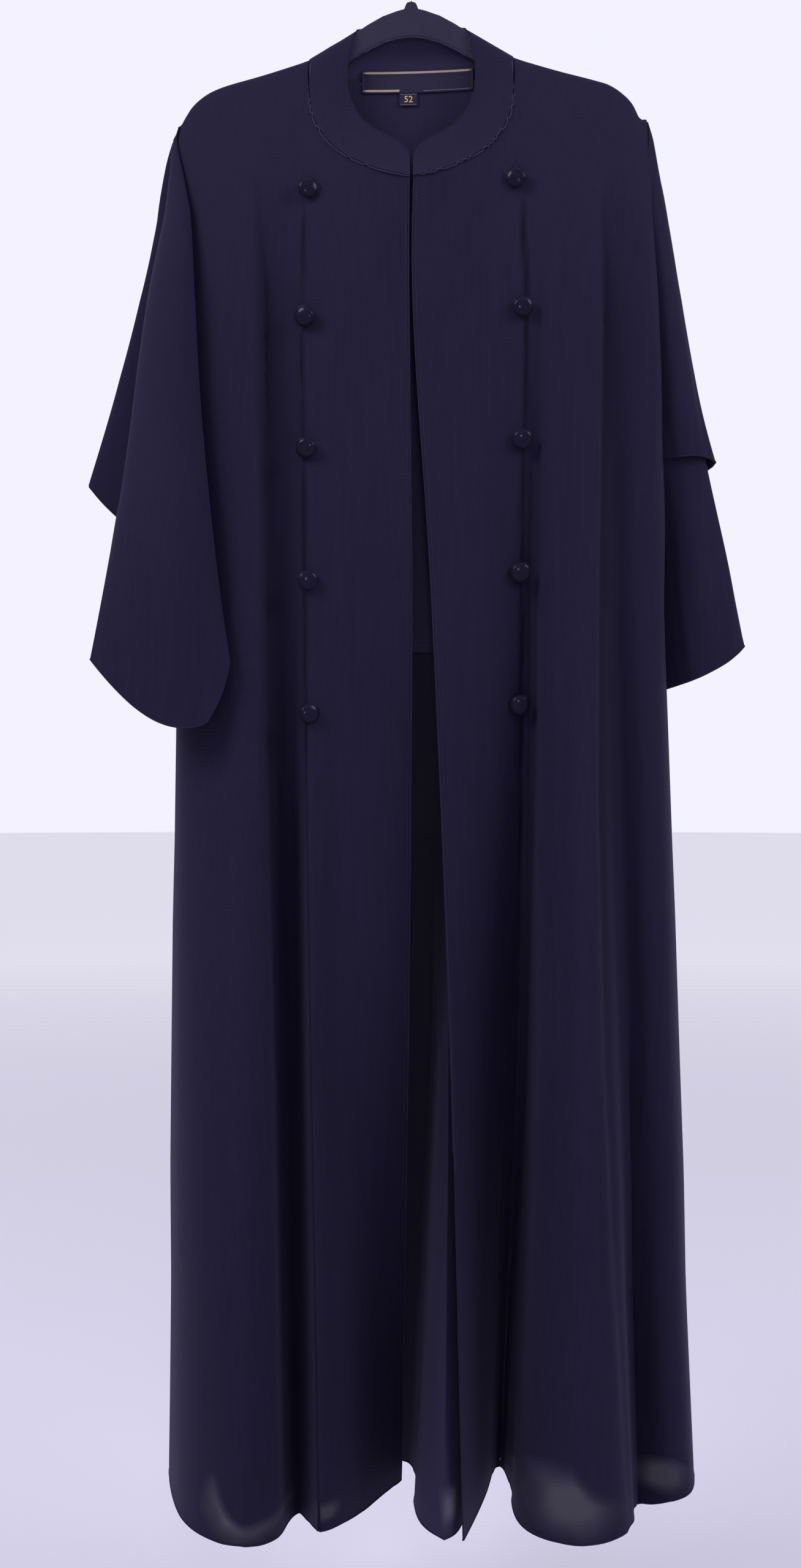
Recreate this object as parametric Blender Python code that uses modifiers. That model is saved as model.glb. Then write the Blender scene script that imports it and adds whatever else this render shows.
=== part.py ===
"""An open abaya cloak hanging on a flat flocked hanger.

Metres, +Z up, +X to the viewer's right, the front faces -Y. The origin is the inside top of the
hook, where a rail holds it. Left and right in the names are the wearer's.

Every cloth piece is a loft of fold lines. A fold line runs from its top edge down to its hem
through named heights, and one row of a table describes one fold line: where it starts, and its
(x, y) at each height, in millimetres.
"""

import math

import bmesh
import bpy
import numpy as np
from mathutils import Matrix, Vector

MM = 0.001

# Driving sizes. Those with MM are in metres, and the others in millimetres.
WALL = 1.2 * MM
SEAM = 0.4 * MM
TOUCH = 0.3 * MM
NECK_GAP = 1.3
SIDE_GAP = 0.45
CROWN_GAP = 0.35
HEM_Z = -1412.0
CHEST_Z = -320.0
UNDERARM_Z = -481.0
ARMHOLE_FOOT_Z = UNDERARM_Z + 12
INNER_HEM_Z = -655.0
FRONT_ROLL = 5.0
BACK_ROLL = 7.0
ARMHOLE_HALF = 14.0

# Rows of points down a piece, and steps between two of its fold lines
BODY_ROWS = 17
BODY_STEPS = 2
OVER_ROWS = 10
LONG_ROWS = 13
SLEEVE_STEPS = 3
COLLAR_ROWS = 4
COLLAR_STEPS = 2
ROLL_ROWS = (0.0, 0.04, 0.3, 1.0)

# Where two walls meet at a ridge: the part of the wall drawn back, the least and the most of it
RIDGE_SHARE = 1.5
RIDGE_LEAST = 0.45 * MM
RIDGE_MOST = 1.5 * MM
RIDGE_SHARPEST = 1.8

HANGER_THICKNESS = 4.1 * MM
HANGER_TILT = math.radians(0.8)
HANGER_BEVEL = 1.9 * MM
HANGER_NECK = ((-6.5, -62.2), (-4.2, -56.0), (4.2, -56.0), (6.5, -62.2))
HOOK_WIRE = 1.75 * MM
HOOK_RADIUS = 19.0 * MM
HOOK_STRAIGHT = 6.0 * MM
HOOK_START = 180.0
HOOK_END = -78.0
HOOK_POINTS = 15
HANGER_COLUMNS = 33
CLOTH_ON_HANGER = 2.7

BUTTON_RADIUS = 9.5 * MM
BUTTON_COUNT = 5
BUTTON_STEP = 119.5
BUTTON_INSET = 6.0
BUTTON_TOP = {"right": -232.0, "left": -222.5}
BUTTON_SIDES = 14
DOME_RINGS = 6
DOME_STEP = math.radians(15)
DOME_FOOT = 3.0 * MM
DOME_RISE = 3.8 * MM
# The button's rim, underside and shank: distance from its middle, height off the cloth
BUTTON_UNDER = ((9.5, 2.6), (8.55, 2.0), (3.0, 2.0), (2.6, 0.4), (0.0, 0.4))

# Heights that a fold line of the body passes through
BODY_LEVELS = (-260.0, -600.0, -1000.0, HEM_Z)

# The top edge of the hanger's arm: distance from the middle, height, depth of the bar below it
HANGER_ARM = (
    # out, top, bar
    (0.0, -61.5, 26.5),
    (18.0, -65.2, 25.4),
    (32.0, -71.4, 24.4),
    (48.0, -81.4, 23.5),
    (75.0, -99.0, 22.0),
    (93.0, -110.6, 21.0),
    (108.0, -115.8, 20.5),
    (140.0, -125.5, 20.5),
    (166.0, -132.5, 20.0),
    (184.0, -138.5, 20.0),
    (198.0, -149.0, 20.0),
    (206.5, -160.0, 17.0),
    (210.0, -170.0, 10.0),
)

# Collar band, centre front to centre back: its sewn lower edge and its free upper edge, and the row
# that lies on top of the shoulder
SHOULDER_ROW = 8
COLLAR_MIDDLE_Z = -160.0
COLLAR = (
    # name, seam (x, y, z), edge (x, y, z)
    ("front", (2.0, -33.5, -227.0), (3.2, -7.0, -197.0)),
    ("front low", (19.0, -33.0, -223.5), (10.0, -7.0, -188.5)),
    ("front mid", (38.0, -31.0, -217.0), (24.0, -7.0, -181.0)),
    ("front side", (61.0, -28.0, -205.0), (41.0, -6.8, -171.0)),
    ("side low", (78.0, -24.0, -189.0), (53.0, -6.5, -156.0)),
    ("side", (90.0, -17.5, -165.0), (58.5, -6.0, -138.0)),
    ("side high", (93.5, -10.0, -138.0), (58.0, -5.2, -108.0)),
    ("roll", (93.4, -5.6, -113.2), (53.0, -4.4, -88.0)),
    ("shoulder", (93.0, 0.0, -107.9), (49.0, 0.0, -81.8)),
    ("back roll", (92.2, 6.8, -111.6), (46.0, 6.2, -79.0)),
    ("back side", (80.0, 12.0, -118.5), (38.0, 8.2, -73.5)),
    ("back mid", (48.0, 17.5, -124.0), (20.0, 9.6, -69.6)),
    ("back", (0.0, 20.0, -126.0), (0.0, 10.0, -68.5)),
)

# Side seams, and above the underarm the middle of the armhole: (x, y) at the body's heights
SIDE_SEAM = {
    "right": ((-209.8, 0.0), (-209.0, 0.0), (-215.6, 0.0), (-219.6, 1.0), (-224.5, 6.0)),
    "left": ((216.2, 0.0), (219.5, 0.0), (233.0, 0.0), (245.6, 1.0), (261.0, 6.0)),
}

# Fold lines of the right front, from its open edge to the side seam
FRONT_RIGHT = (
    # name, top: a row of COLLAR counted from 0, or (x, y, None) on the shoulder; then (x, y) at
    # yoke, waist, knee and hem
    ("edge", 0, (-2.5, -34), (0.3, -38), (-2.8, -30), (-9.0, 0)),
    ("centre", 2, (-40.0, -34), (-40.0, -43), (-44.0, -46), (-27.0, -36)),
    ("middle", 3, (-64.5, -33), (-64.0, -46), (-66.0, -56), (-46.0, -78)),
    ("near seam", 4, (-80.5, -32), (-80.0, -47), (-78.0, -73), (-65.0, -112)),
    ("panel seam", 5, (-97.5, -30), (-96.0, -47), (-89.5, -80), (-80.0, -127)),
    ("neck side", 6.5, (-104.0, -29), (-102.5, -41), (-96.0, -60), (-88.5, -97)),
    ("recess", (-93.7, -5.0, None), (-112.0, -28), (-110.0, -36), (-104.0, -44), (-99.0, -70)),
    ("recess wall", (-112.0, -5.0, None), (-126.0, -29), (-122.0, -40), (-113.0, -56), (-106.0, -84)),
    ("flare edge", (-130.0, -5.0, None), (-142.0, -31), (-134.0, -48), (-124.0, -82), (-113.0, -122)),
    ("flare front", (-160.0, -5.0, None), (-166.0, -30), (-160.0, -50), (-152.0, -104), (-139.0, -159)),
    ("flare back", (-186.0, -5.0, None), (-188.0, -25), (-184.0, -38), (-180.0, -90), (-176.5, -135)),
    ("side fold", (-202.5, -5.0, None), (-203.0, -19), (-207.0, -20), (-207.0, -50), (-205.5, -83)),
)

# Fold lines of the left front, from its open edge to the side seam
FRONT_LEFT = (
    ("edge", 0, (1.0, -34), (17.8, -45), (34.5, -74), (43.5, -137)),
    ("centre", 2, (35.0, -34), (50.0, -44), (56.0, -50), (57.6, -82)),
    ("middle", 3, (56.0, -33), (70.0, -42), (74.0, -28), (69.0, -30)),
    ("near seam", 4, (80.0, -31), (88.0, -35), (88.0, -10), (76.5, 14)),
    ("panel seam", 5, (100.5, -30), (101.0, -30), (98.5, -2), (83.0, 27)),
    ("neck side", 6.5, (104.0, -29), (105.5, -29), (103.0, -5), (87.0, 22)),
    ("recess", (93.7, -5.0, None), (108.0, -29), (110.0, -29), (107.0, -6), (92.0, 24)),
    ("flare foot", (114.0, -5.0, None), (119.0, -30), (119.0, -38), (114.0, -50), (89.5, -45)),
    ("flare rise", (131.0, -5.0, None), (132.0, -31), (130.0, -47), (125.0, -82), (96.5, -109)),
    ("flare front", (151.0, -5.0, None), (150.0, -32), (148.0, -53), (146.0, -102), (143.0, -155)),
    ("flare edge", (170.0, -5.0, None), (170.0, -31), (169.0, -49), (173.5, -84), (189.5, -118)),
    ("recess wall", (180.0, -5.0, None), (180.0, -29), (178.0, -38), (183.0, -54), (195.0, -76)),
    ("side recess", (190.0, -5.0, None), (190.0, -28), (188.0, -32), (193.0, -40), (203.0, -54)),
    ("side flare", (201.0, -5.0, None), (201.0, -27), (205.0, -35), (209.0, -46), (226.0, -66)),
    ("side fold", (210.0, -5.0, None), (213.0, -22), (223.0, -26), (231.0, -38), (251.0, -48)),
)

# Fold lines of the back, from the right side seam to the left one
BACK = (
    ("right side", (-203.0, 7.0, None), (-204.0, 17), (-209.0, 15), (-213.0, 24), (-217.0, 40)),
    ("right fold", (-186.0, 7.0, None), (-187.0, 20), (-190.0, 24), (-190.0, 36), (-188.0, 52)),
    ("right hollow", (-158.0, 7.0, None), (-160.0, 20), (-158.0, 23), (-152.0, 26), (-146.0, 36)),
    ("right ridge", (-128.0, 7.0, None), (-128.0, 20), (-124.0, 26), (-116.0, 38), (-106.0, 54)),
    ("right neck", (-93.7, 7.0, None), (-94.0, 21), (-90.0, 24), (-80.0, 27), (-68.0, 38)),
    ("right neck corner", 9, (-82.0, 21.5), (-77.0, 25), (-66.0, 28), (-53.0, 40)),
    ("right nape", 10, (-62.0, 22), (-58.0, 26), (-50.0, 30), (-36.0, 42)),
    ("nape", 11, (-32.0, 22), (-28.0, 25), (-18.0, 27), (-12.0, 34)),
    ("lobe foot right", 11.5, (-10.0, 22), (-4.0, 24), (12.0, 25), (1.5, 22)),
    ("lobe side right", 11.8, (4.0, 22), (10.0, 23), (22.5, 12), (8.0, -52)),
    ("lobe right", 12.2, (16.0, 22), (22.0, 23), (27.0, -8), (12.5, -104)),
    ("lobe front", 12.5, (28.0, 22), (33.0, 23), (34.0, -18), (27.0, -138)),
    ("lobe left", 12.8, (40.0, 22), (44.0, 24), (42.0, -9), (40.0, -116)),
    ("lobe side left", 13.2, (54.0, 22), (56.0, 25), (50.0, 10), (49.0, -54)),
    ("lobe foot left", 14, (72.0, 22), (72.0, 26), (66.0, 28), (62.0, 24)),
    ("left neck corner", 15, (86.0, 22), (86.0, 25), (80.0, 28), (76.0, 34)),
    ("left neck", (93.7, 7.0, None), (94.0, 21), (94.0, 24), (92.0, 27), (92.0, 42)),
    ("left hollow", (128.0, 7.0, None), (128.0, 20), (130.0, 26), (130.0, 34), (134.0, 50)),
    ("left ridge", (158.0, 7.0, None), (158.0, 20), (162.0, 23), (168.0, 26), (178.0, 38)),
    ("left fold", (190.0, 7.0, None), (192.0, 19), (200.0, 23), (208.0, 34), (222.0, 50)),
    ("left side", (209.0, 7.0, None), (212.0, 16), (225.0, 14), (236.0, 22), (251.0, 36)),
)

# Sleeves: heights, then fold lines round each one. The first and last line of a sleeve follow
# the armhole down to the underarm, and close into its under-seam below it.
OVER_LEVELS = (-215.0, -320.0, -440.0)
OVER_LEFT = (
    # name, top (x, y, z), (x, y) at cap, chest and elbow, hem (x, y, z)
    ("armhole front", (217.6, -5.0, -171.6), None, None, None, (230.8, -6.0, -477.0)),
    ("front", (217.6, -3.8, -168.4), (223.0, -9), (231.0, -17), (243.0, -17), (247.0, -13, -477.0)),
    ("front fold", (217.6, -2.2, -167.1), (229.0, -7), (241.0, -12), (260.0, -13), (266.0, -10, -476.0)),
    ("top fold", (217.6, 0.0, -166.5), (231.8, 0), (247.4, -1), (269.5, 0), (280.5, 2, -480.0)),
    ("back fold", (217.6, 2.8, -167.1), (229.0, 7.5), (242.0, 12), (262.0, 17), (268.0, 20, -489.0)),
    ("back", (217.6, 5.6, -169.4), (223.0, 11.5), (232.0, 18), (244.0, 23), (248.0, 25, -499.0)),
    ("armhole back", (217.6, 7.0, -173.6), None, None, None, (236.5, 17.0, -506.0)),
)
OVER_RIGHT = (
    ("armhole front", (-211.1, 3.9, -173.0), None, None, None, (-219.0, 6.5, -552.0)),
    ("front", (-211.2, 4.2, -172.4), (-217.0, 6.5), (-231.0, 7), (-250.0, 6), (-256.0, 5, -541.0)),
    ("front fold", (-211.3, 4.6, -172.2), (-222.0, 6.8), (-240.5, 7), (-266.0, 7), (-280.0, 8, -521.0)),
    ("top fold", (-211.5, 5.2, -172.2), (-226.5, 9), (-246.5, 10), (-278.0, 11), (-297.5, 12, -500.0)),
    ("back fold", (-211.3, 5.8, -173.0), (-222.5, 12), (-241.0, 15), (-268.0, 18), (-284.0, 20, -517.0)),
    ("back", (-211.3, 6.4, -174.4), (-217.5, 13.5), (-231.0, 18), (-250.0, 24), (-258.0, 26, -538.0)),
    ("armhole back", (-210.9, 7.0, -177.6), None, None, None, (-219.5, 14.0, -548.0)),
)
LONG_LEVELS = (-320.0, -480.0, -600.0)
LONG_LEFT = (
    # name, top (x, y, z), (x, y) at chest, underarm and elbow, cuff (x, y, z)
    ("armhole front", (218.0, -3.0, -215.0), None, (230.8, -0.8), (230.6, 12), (231.4, 18.0, -690.0)),
    ("front", (220.6, -4.2, -215.0), (231.0, -11.5), (246.0, -7), (255.0, -8), (262.0, -4, -680.0)),
    ("front fold", (221.2, -2.4, -215.0), (239.0, -7.5), (262.0, -6), (280.0, -8), (292.0, -4, -664.0)),
    ("top fold", (221.6, 0.0, -215.0), (244.0, 0), (272.0, 2), (299.0, 4), (309.0, 9, -649.0)),
    ("back fold", (221.2, 2.4, -215.0), (239.0, 8.5), (262.0, 12), (282.0, 22), (294.0, 28, -660.0)),
    ("back", (220.6, 4.0, -215.0), (231.0, 12.5), (247.0, 16), (256.0, 32), (264.0, 38, -678.0)),
    ("armhole back", (218.0, 3.6, -215.0), None, (231.4, 2.0), (231.2, 14.5), (232.0, 20.5, -690.0)),
)
LONG_RIGHT = (
    ("armhole front", (-211.0, -5.0, -175.6), None, (-216.0, -8), (-217.0, -38), (-214.0, -45, -716.0)),
    ("under fold", (-211.1, -4.7, -174.2), (-201.0, -34), (-199.0, -42), (-196.0, -48), (-190.0, -56, -712.0)),
    ("crease", (-211.2, -4.4, -173.2), (-193.0, -39), (-183.5, -47), (-171.5, -58), (-160.5, -68, -669.0)),
    ("front", (-211.3, -3.8, -172.2), (-203.0, -48), (-195.0, -60), (-187.0, -74), (-179.0, -80, -723.0)),
    ("ridge", (-211.4, -2.8, -171.3), (-216.0, -48), (-214.0, -64), (-210.0, -78), (-212.0, -84, -726.5)),
    ("front fold", (-211.4, -1.6, -170.7), (-228.0, -40), (-240.0, -50), (-250.0, -64), (-249.0, -68, -706.0)),
    ("top fold", (-211.4, -0.4, -170.4), (-234.0, -26), (-256.5, -30), (-276.0, -42), (-288.0, -46, -665.0)),
    ("back fold", (-211.3, 1.2, -171.4), (-226.0, -11), (-240.0, -14), (-250.0, -34), (-252.0, -38, -702.0)),
    ("armhole back", (-211.1, 2.0, -173.0), None, (-217.0, -3), (-218.0, -36.5), (-216.0, -43, -716.0)),
)

# A point on each sleeve's middle at chest height, (x, y), and how far it moves for each mm further down
SLEEVE_MIDDLE = {
    "over_left": (240.0, 1.0, 0.1, 0.0),
    "over_right": (-232.0, 12.0, -0.1, 0.0),
    "long_left": (232.0, 4.0, 0.11, 0.0),
    "long_right": (-214.0, -30.0, 0.0, -0.08),
}

# How far outside the armhole each sleeve is sewn, and how much flatter than it in front and behind
SLEEVE_SEAM = {
    "over_left": (1.4, (0.0, 0.0)),
    "over_right": (-0.35, (0.3, 0.0)),
    "long_left": (2.0, (0.3, 0.55)),
    "long_right": (-0.9, (0.0, 0.64)),
}

# The layer sewn inside the back: how far inside it lies, its wall and rows, how far its top edge is
# below the shoulder, below the neck's corner and above the neck seam, and how many fold lines it stops
# short of each side
INNER_INSET = 2.6
INNER_WALL = 1.0 * MM
INNER_ROWS = 5
INNER_SHOULDER_DROP = 9.0
INNER_CORNER_DROP = 3.0
INNER_NECK_RISE = 0.5
INNER_SIDES = 2

# Labels inside the neck: middle x, width, top and bottom, and how far before the neck seam each lies
NECK_LABEL = (5.9, 103.0, -112.6, -133.8, 4.1, 5.1)
SIZE_TAG = (-2.5, 16.4, -134.4, -145.6, 5.2, 5.2)
LABEL_TILT = math.radians(1.6)
LABEL_WALL = 0.6 * MM


def material(name, colour, roughness, metallic=0.0):
    made = bpy.data.materials.new(name)
    made.use_nodes = True
    shader = made.node_tree.nodes["Principled BSDF"]
    shader.inputs["Base Color"].default_value = (*colour, 1.0)
    shader.inputs["Roughness"].default_value = roughness
    shader.inputs["Metallic"].default_value = metallic
    made.diffuse_color = (*colour, 1.0)
    return made


def smooth_value(x, xs, ys):
    """A cubic through (xs, ys) with finite-difference slopes: xs ascending, ys numbers or rows."""
    xs = np.asarray(xs, float)
    ys = np.asarray(ys, float)
    x = min(max(x, xs[0]), xs[-1])
    i = int(min(max(np.searchsorted(xs, x) - 1, 0), len(xs) - 2))
    slopes = np.gradient(ys, xs, axis=0)
    h = xs[i + 1] - xs[i]
    t = (x - xs[i]) / h
    a = (2 * t**3 - 3 * t**2 + 1) * ys[i] + (t**3 - 2 * t**2 + t) * h * slopes[i]
    b = (3 * t**2 - 2 * t**3) * ys[i + 1] + (t**3 - t**2) * h * slopes[i + 1]
    return a + b


def across(lines, steps):
    """Centripetal Catmull-Rom curve through the points, with this many steps between two."""
    points = [2 * lines[0] - lines[1], *lines, 2 * lines[-1] - lines[-2]]
    curve = []
    for i in range(1, len(points) - 2):
        near = points[i - 1 : i + 3]
        knots = [0.0]
        for a, b in zip(near, near[1:]):
            knots.append(knots[-1] + max(np.linalg.norm(b - a), 1e-6) ** 0.5)
        for k in range(steps):
            t = knots[1] + (knots[2] - knots[1]) * k / steps
            level = list(near)
            for order in range(1, 4):
                lo = [knots[j] for j in range(4 - order)]
                hi = [knots[j + order] for j in range(4 - order)]
                if order == 3:
                    lo, hi = [knots[1]], [knots[2]]
                if order == 2:
                    lo, hi = [knots[0], knots[1]], [knots[2], knots[3]]
                level = [
                    ((h - t) * p + (t - low) * q) / (h - low)
                    for p, q, low, h in zip(level, level[1:], lo, hi)
                ]
            curve.append(level[0])
    curve.append(lines[-1])
    return curve


def hanger_top(x):
    """Height of the hanger's top edge, in millimetres, with the hanger's slight tilt."""
    outs = [row[0] for row in HANGER_ARM]
    tops = [row[1] for row in HANGER_ARM]
    return float(smooth_value(abs(x), outs, tops)) + x * math.tan(HANGER_TILT)


def shoulder(x):
    return hanger_top(x) + CLOTH_ON_HANGER


def rolled(drop, roll):
    """How far the cloth has come round the hanger's edge, 0 to 1, this far below its crown."""
    return math.sqrt(max(0.0, 1 - (1 - min(drop / roll, 1.0)) ** 2))


def armhole_gap(z, top, roll):
    """Half the front-to-back opening of the armhole at this height."""
    if z <= UNDERARM_Z:
        return 0.0
    share = min((z - UNDERARM_Z) / (top - UNDERARM_Z), 1.0)
    return max(ARMHOLE_HALF * max(math.sin(math.pi * share), 0.0) ** 0.4, roll * min(1.0, share * 2))


def side_edge(side, face, z):
    """Where the front (face -1) or the back (face +1) ends at the side, at height z."""
    top = shoulder(SIDE_SEAM[side][0][0])
    heights = [HEM_Z, *BODY_LEVELS[-2::-1], top]
    x, y = smooth_value(z, heights, SIDE_SEAM[side][::-1])
    roll = FRONT_ROLL if face < 0 else BACK_ROLL
    gap = armhole_gap(z, top, roll) * rolled(max(top - z, 0.0), roll)
    return np.array([x, y + face * max(gap, SIDE_GAP), z])


def collar_ring():
    """Seam and free edge of the collar, all round: from the left front to the right front."""
    rise = math.tan(HANGER_TILT)
    left = []
    right = []
    for _, *pair in COLLAR:
        left.append([np.array([x, y, z + x * rise]) for x, y, z in pair])
        right.append([np.array([-x, y, z - x * rise]) for x, y, z in pair])
    ring = left + right[-2::-1]
    return [seam for seam, _ in ring], [edge for _, edge in ring]


def neck_point(place):
    """A point just outside the collar's seam, at this place along its rows."""
    seam, _ = collar_ring()
    rows = range(len(seam))
    before, at, after = (smooth_value(place + step, rows, seam) for step in (-0.2, 0.0, 0.2))
    run = after - before
    away = np.array([-run[2], 0.0, run[0]]) / math.hypot(run[0], run[2])
    if away[0] * at[0] < 0 or abs(away[0]) < 0.2 and away[2] > 0:
        away = -away
    return tuple(at + away * NECK_GAP)


class FoldLine:
    """One line down the cloth, from its top edge to its hem, through the named heights."""

    def __init__(self, top, places, heights, hem_z, roll=0.0):
        x, y, z = top
        self.on_shoulder = z is None
        self.roll = roll if self.on_shoulder else 0.0
        self.face = math.copysign(1.0, y)
        self.top_z = shoulder(x) if self.on_shoulder else z
        self.hem_z = hem_z
        pairs = [(h, p) for h, p in zip(heights, places) if h < self.top_z - 8]
        self.heights = [h for h, _ in pairs][::-1] + [self.top_z]
        self.places = [p for _, p in pairs][::-1] + [(x, y)]

    def at(self, z):
        x, y = smooth_value(z, self.heights, self.places)
        if self.roll:
            y *= rolled(self.top_z - z, self.roll)
            y = self.face * max(abs(y), CROWN_GAP)
        return np.array([x, y, z])


def drops(length, roll, rows):
    """Distances below the top edge for the rows of points: close together where cloth rolls over."""
    near = [share * roll for share in ROLL_ROWS] if roll else [0.0]
    left = length - near[-1]
    return near + [near[-1] + left * ((k / rows) ** 1.15) for k in range(1, rows + 1)]


def settle_on_hanger(points, lines, steps, depth):
    """Bring a row of points near the crown to the hanger's shape, between the lines that lie on it."""
    face = math.copysign(1.0, points[len(points) // 2][1])
    for i, (x, y, _) in enumerate(points):
        before = lines[i // steps]
        after = lines[-(-i // steps)]
        if before.on_shoulder and after.on_shoulder:
            points[i] = np.array([x, face * max(face * y, CROWN_GAP), shoulder(x) - depth])
        elif before.on_shoulder or after.on_shoulder:
            share = i % steps / steps
            points[i] = before.at(before.top_z - depth) * (1 - share) + after.at(after.top_z - depth) * share


def loft(lines, rows, steps, roll=0.0):
    """Rows of points down the fold lines, each row a smooth curve across them."""
    grid = []
    for row in range(rows + (len(ROLL_ROWS) if roll else 1)):
        points = []
        for line in lines:
            depth = drops(line.top_z - line.hem_z, roll, rows)[row]
            points.append(line.at(line.top_z - depth))
        points = across(points, steps)
        if roll and depth <= roll:
            settle_on_hanger(points, lines, steps, depth)
        grid.append(points)
    return np.array(grid) * MM


def trimmed(grid, side, allowance):
    """The grid with one edge drawn in by half a seam and the allowance, so that neighbours stay apart."""
    grid = grid.copy()
    edge, inner = (grid[:, 0], grid[:, 1]) if side == "left" else (grid[:, -1], grid[:, -2])
    step = inner - edge
    step /= np.linalg.norm(step, axis=1, keepdims=True)
    edge += step * np.reshape(SEAM / 2 + allowance, (-1, 1))
    return grid


def ridge_allowance(grid, column):
    """How far two walls that meet at a ridge are drawn back, so that their inner corners clear."""
    before = grid[:, column] - grid[:, column - 1]
    after = grid[:, column + 1] - grid[:, column]
    before /= np.linalg.norm(before, axis=1, keepdims=True)
    after /= np.linalg.norm(after, axis=1, keepdims=True)
    turn = np.arccos(np.clip((before * after).sum(axis=1), -1, 1))
    needed = RIDGE_SHARE * WALL * np.tan(np.minimum(turn, RIDGE_SHARPEST) / 2) + RIDGE_LEAST
    return np.minimum(needed, RIDGE_MOST)


def cloth(name, grid, finish, collection, inside, wall=WALL, outward=False):
    """A wall of cloth over a grid of points. inside is a point or direction on its inner side."""
    rows, columns = grid.shape[:2]
    mesh = bpy.data.meshes.new(name)
    shape = bmesh.new()
    bmesh.ops.create_grid(shape, x_segments=columns - 1, y_segments=rows - 1, size=0.5)
    for vert in shape.verts:
        column = round((vert.co.x + 0.5) * (columns - 1))
        row = round((0.5 - vert.co.y) * (rows - 1))
        vert.co = grid[row, column]
    shape.normal_update()
    facing = sum((f.normal.dot(Vector(inside(f.calc_center_median()))) for f in shape.faces), 0.0)
    if facing > 0:
        bmesh.ops.reverse_faces(shape, faces=shape.faces)
    shape.to_mesh(mesh)
    shape.free()
    obj = bpy.data.objects.new(name, mesh)
    collection.objects.link(obj)
    mesh.materials.append(finish)
    mesh.shade_smooth()
    solidify = obj.modifiers.new("wall", "SOLIDIFY")
    solidify.thickness = wall
    solidify.offset = 1.0 if outward else -1.0
    solidify.use_even_offset = True
    solidify.use_quality_normals = True
    solidify.thickness_clamp = 1.0
    solidify.use_thickness_angle_clamp = True
    return obj


def backward(_point):
    return (0.0, 1.0, 0.0)


def forward(_point):
    return (0.0, -1.0, 0.0)


def towards(middle):
    """Inner side of a sleeve, from its row of SLEEVE_MIDDLE."""
    x, y, x_shift, y_shift = middle

    def direction(point):
        below = CHEST_Z - point.z / MM
        return ((x + x_shift * below) * MM - point.x, (y + y_shift * below) * MM - point.y, 0.0)

    return direction


def body_lines(rows, on_left, roll):
    """Fold lines of a front or of the back. A neck row counts from the left front where on_left."""
    last = 2 * (len(COLLAR) - 1)
    lines = []
    for _, top, *places in rows:
        if not isinstance(top, tuple):
            top = neck_point(top if on_left else last - top)
        lines.append(FoldLine(top, places, BODY_LEVELS, HEM_Z, roll))
    return lines


class EdgeLine:
    """The side edge of the front or back panel, as a fold line."""

    on_shoulder = True

    def __init__(self, side, face):
        self.side = side
        self.face = face
        self.top_z = shoulder(SIDE_SEAM[side][0][0])
        self.hem_z = HEM_Z

    def at(self, z):
        return side_edge(self.side, self.face, z)


class SleeveEdge(FoldLine):
    """A sleeve's sewn edge: it follows the armhole, then closes into the under-seam."""

    def __init__(self, row, levels, side, face, out, inset):
        _, top, *places, hem = row
        self.side = side
        self.panel = face
        self.out = out
        self.inset = inset
        start = self.along_armhole(ARMHOLE_FOOT_Z)
        known = [(h, p) for h, p in zip(levels, places) if p and h < UNDERARM_Z + 1]
        heights = [ARMHOLE_FOOT_Z, *[h for h, _ in known], hem[2]]
        spots = [tuple(start[:2]), *[p for _, p in known], hem[:2]]
        self.low_heights = heights[::-1]
        self.low_places = spots[::-1]
        self.top_z = top[2]
        self.hem_z = hem[2]

    def along_armhole(self, z):
        x, y, _ = side_edge(self.side, self.panel, z)
        return np.array([x + self.out, y * (1 - self.inset), z])

    def at(self, z):
        if z >= ARMHOLE_FOOT_Z:
            return self.along_armhole(z)
        x, y = smooth_value(z, self.low_heights, self.low_places)
        return np.array([x, y, z])


def sleeve_lines(rows, levels, side, out, insets, faces=(-1, 1)):
    lines = [SleeveEdge(rows[0], levels, side, faces[0], out, insets[0])]
    for _, top, *places, hem in rows[1:-1]:
        lines.append(FoldLine(top, (*places, hem[:2]), (*levels, hem[2]), hem[2]))
    lines.append(SleeveEdge(rows[-1], levels, side, faces[1], out, insets[1]))
    return lines


def body_front(rows, side, cloths, collection):
    """Centre and side panels of one front, cut from one loft at the panel seam."""
    lines = body_lines(rows, side == "left", FRONT_ROLL)
    seam = [row[0] for row in rows].index("panel seam") * BODY_STEPS
    whole = loft([*lines, EdgeLine(side, -1)], BODY_ROWS, BODY_STEPS, FRONT_ROLL)
    back_off = ridge_allowance(whole, seam)
    centre = trimmed(whole[:, : seam + 1], "right", back_off)
    sidewards = trimmed(whole[:, seam:], "left", back_off)
    cloth(f"front_centre_{side}", centre, cloths, collection, backward)
    cloth(f"front_side_{side}", sidewards, cloths, collection, backward)
    return whole, seam


def back_lines():
    return [EdgeLine("right", 1), *body_lines(BACK, False, BACK_ROLL), EdgeLine("left", 1)]


def add_collar(finish, collection):
    seam, edge = collar_ring()
    pairs = list(zip(across(seam, COLLAR_STEPS), across(edge, COLLAR_STEPS)))
    shares = np.linspace(0, 1, COLLAR_ROWS + 1)
    grid = np.array([[outer + (sewn - outer) * share for sewn, outer in pairs] for share in shares])
    middle = Vector((0.0, 0.0, COLLAR_MIDDLE_Z * MM))

    def inwards(point):
        return middle - point

    cloth("collar", grid * MM, finish, collection, inwards, outward=True)


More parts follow.
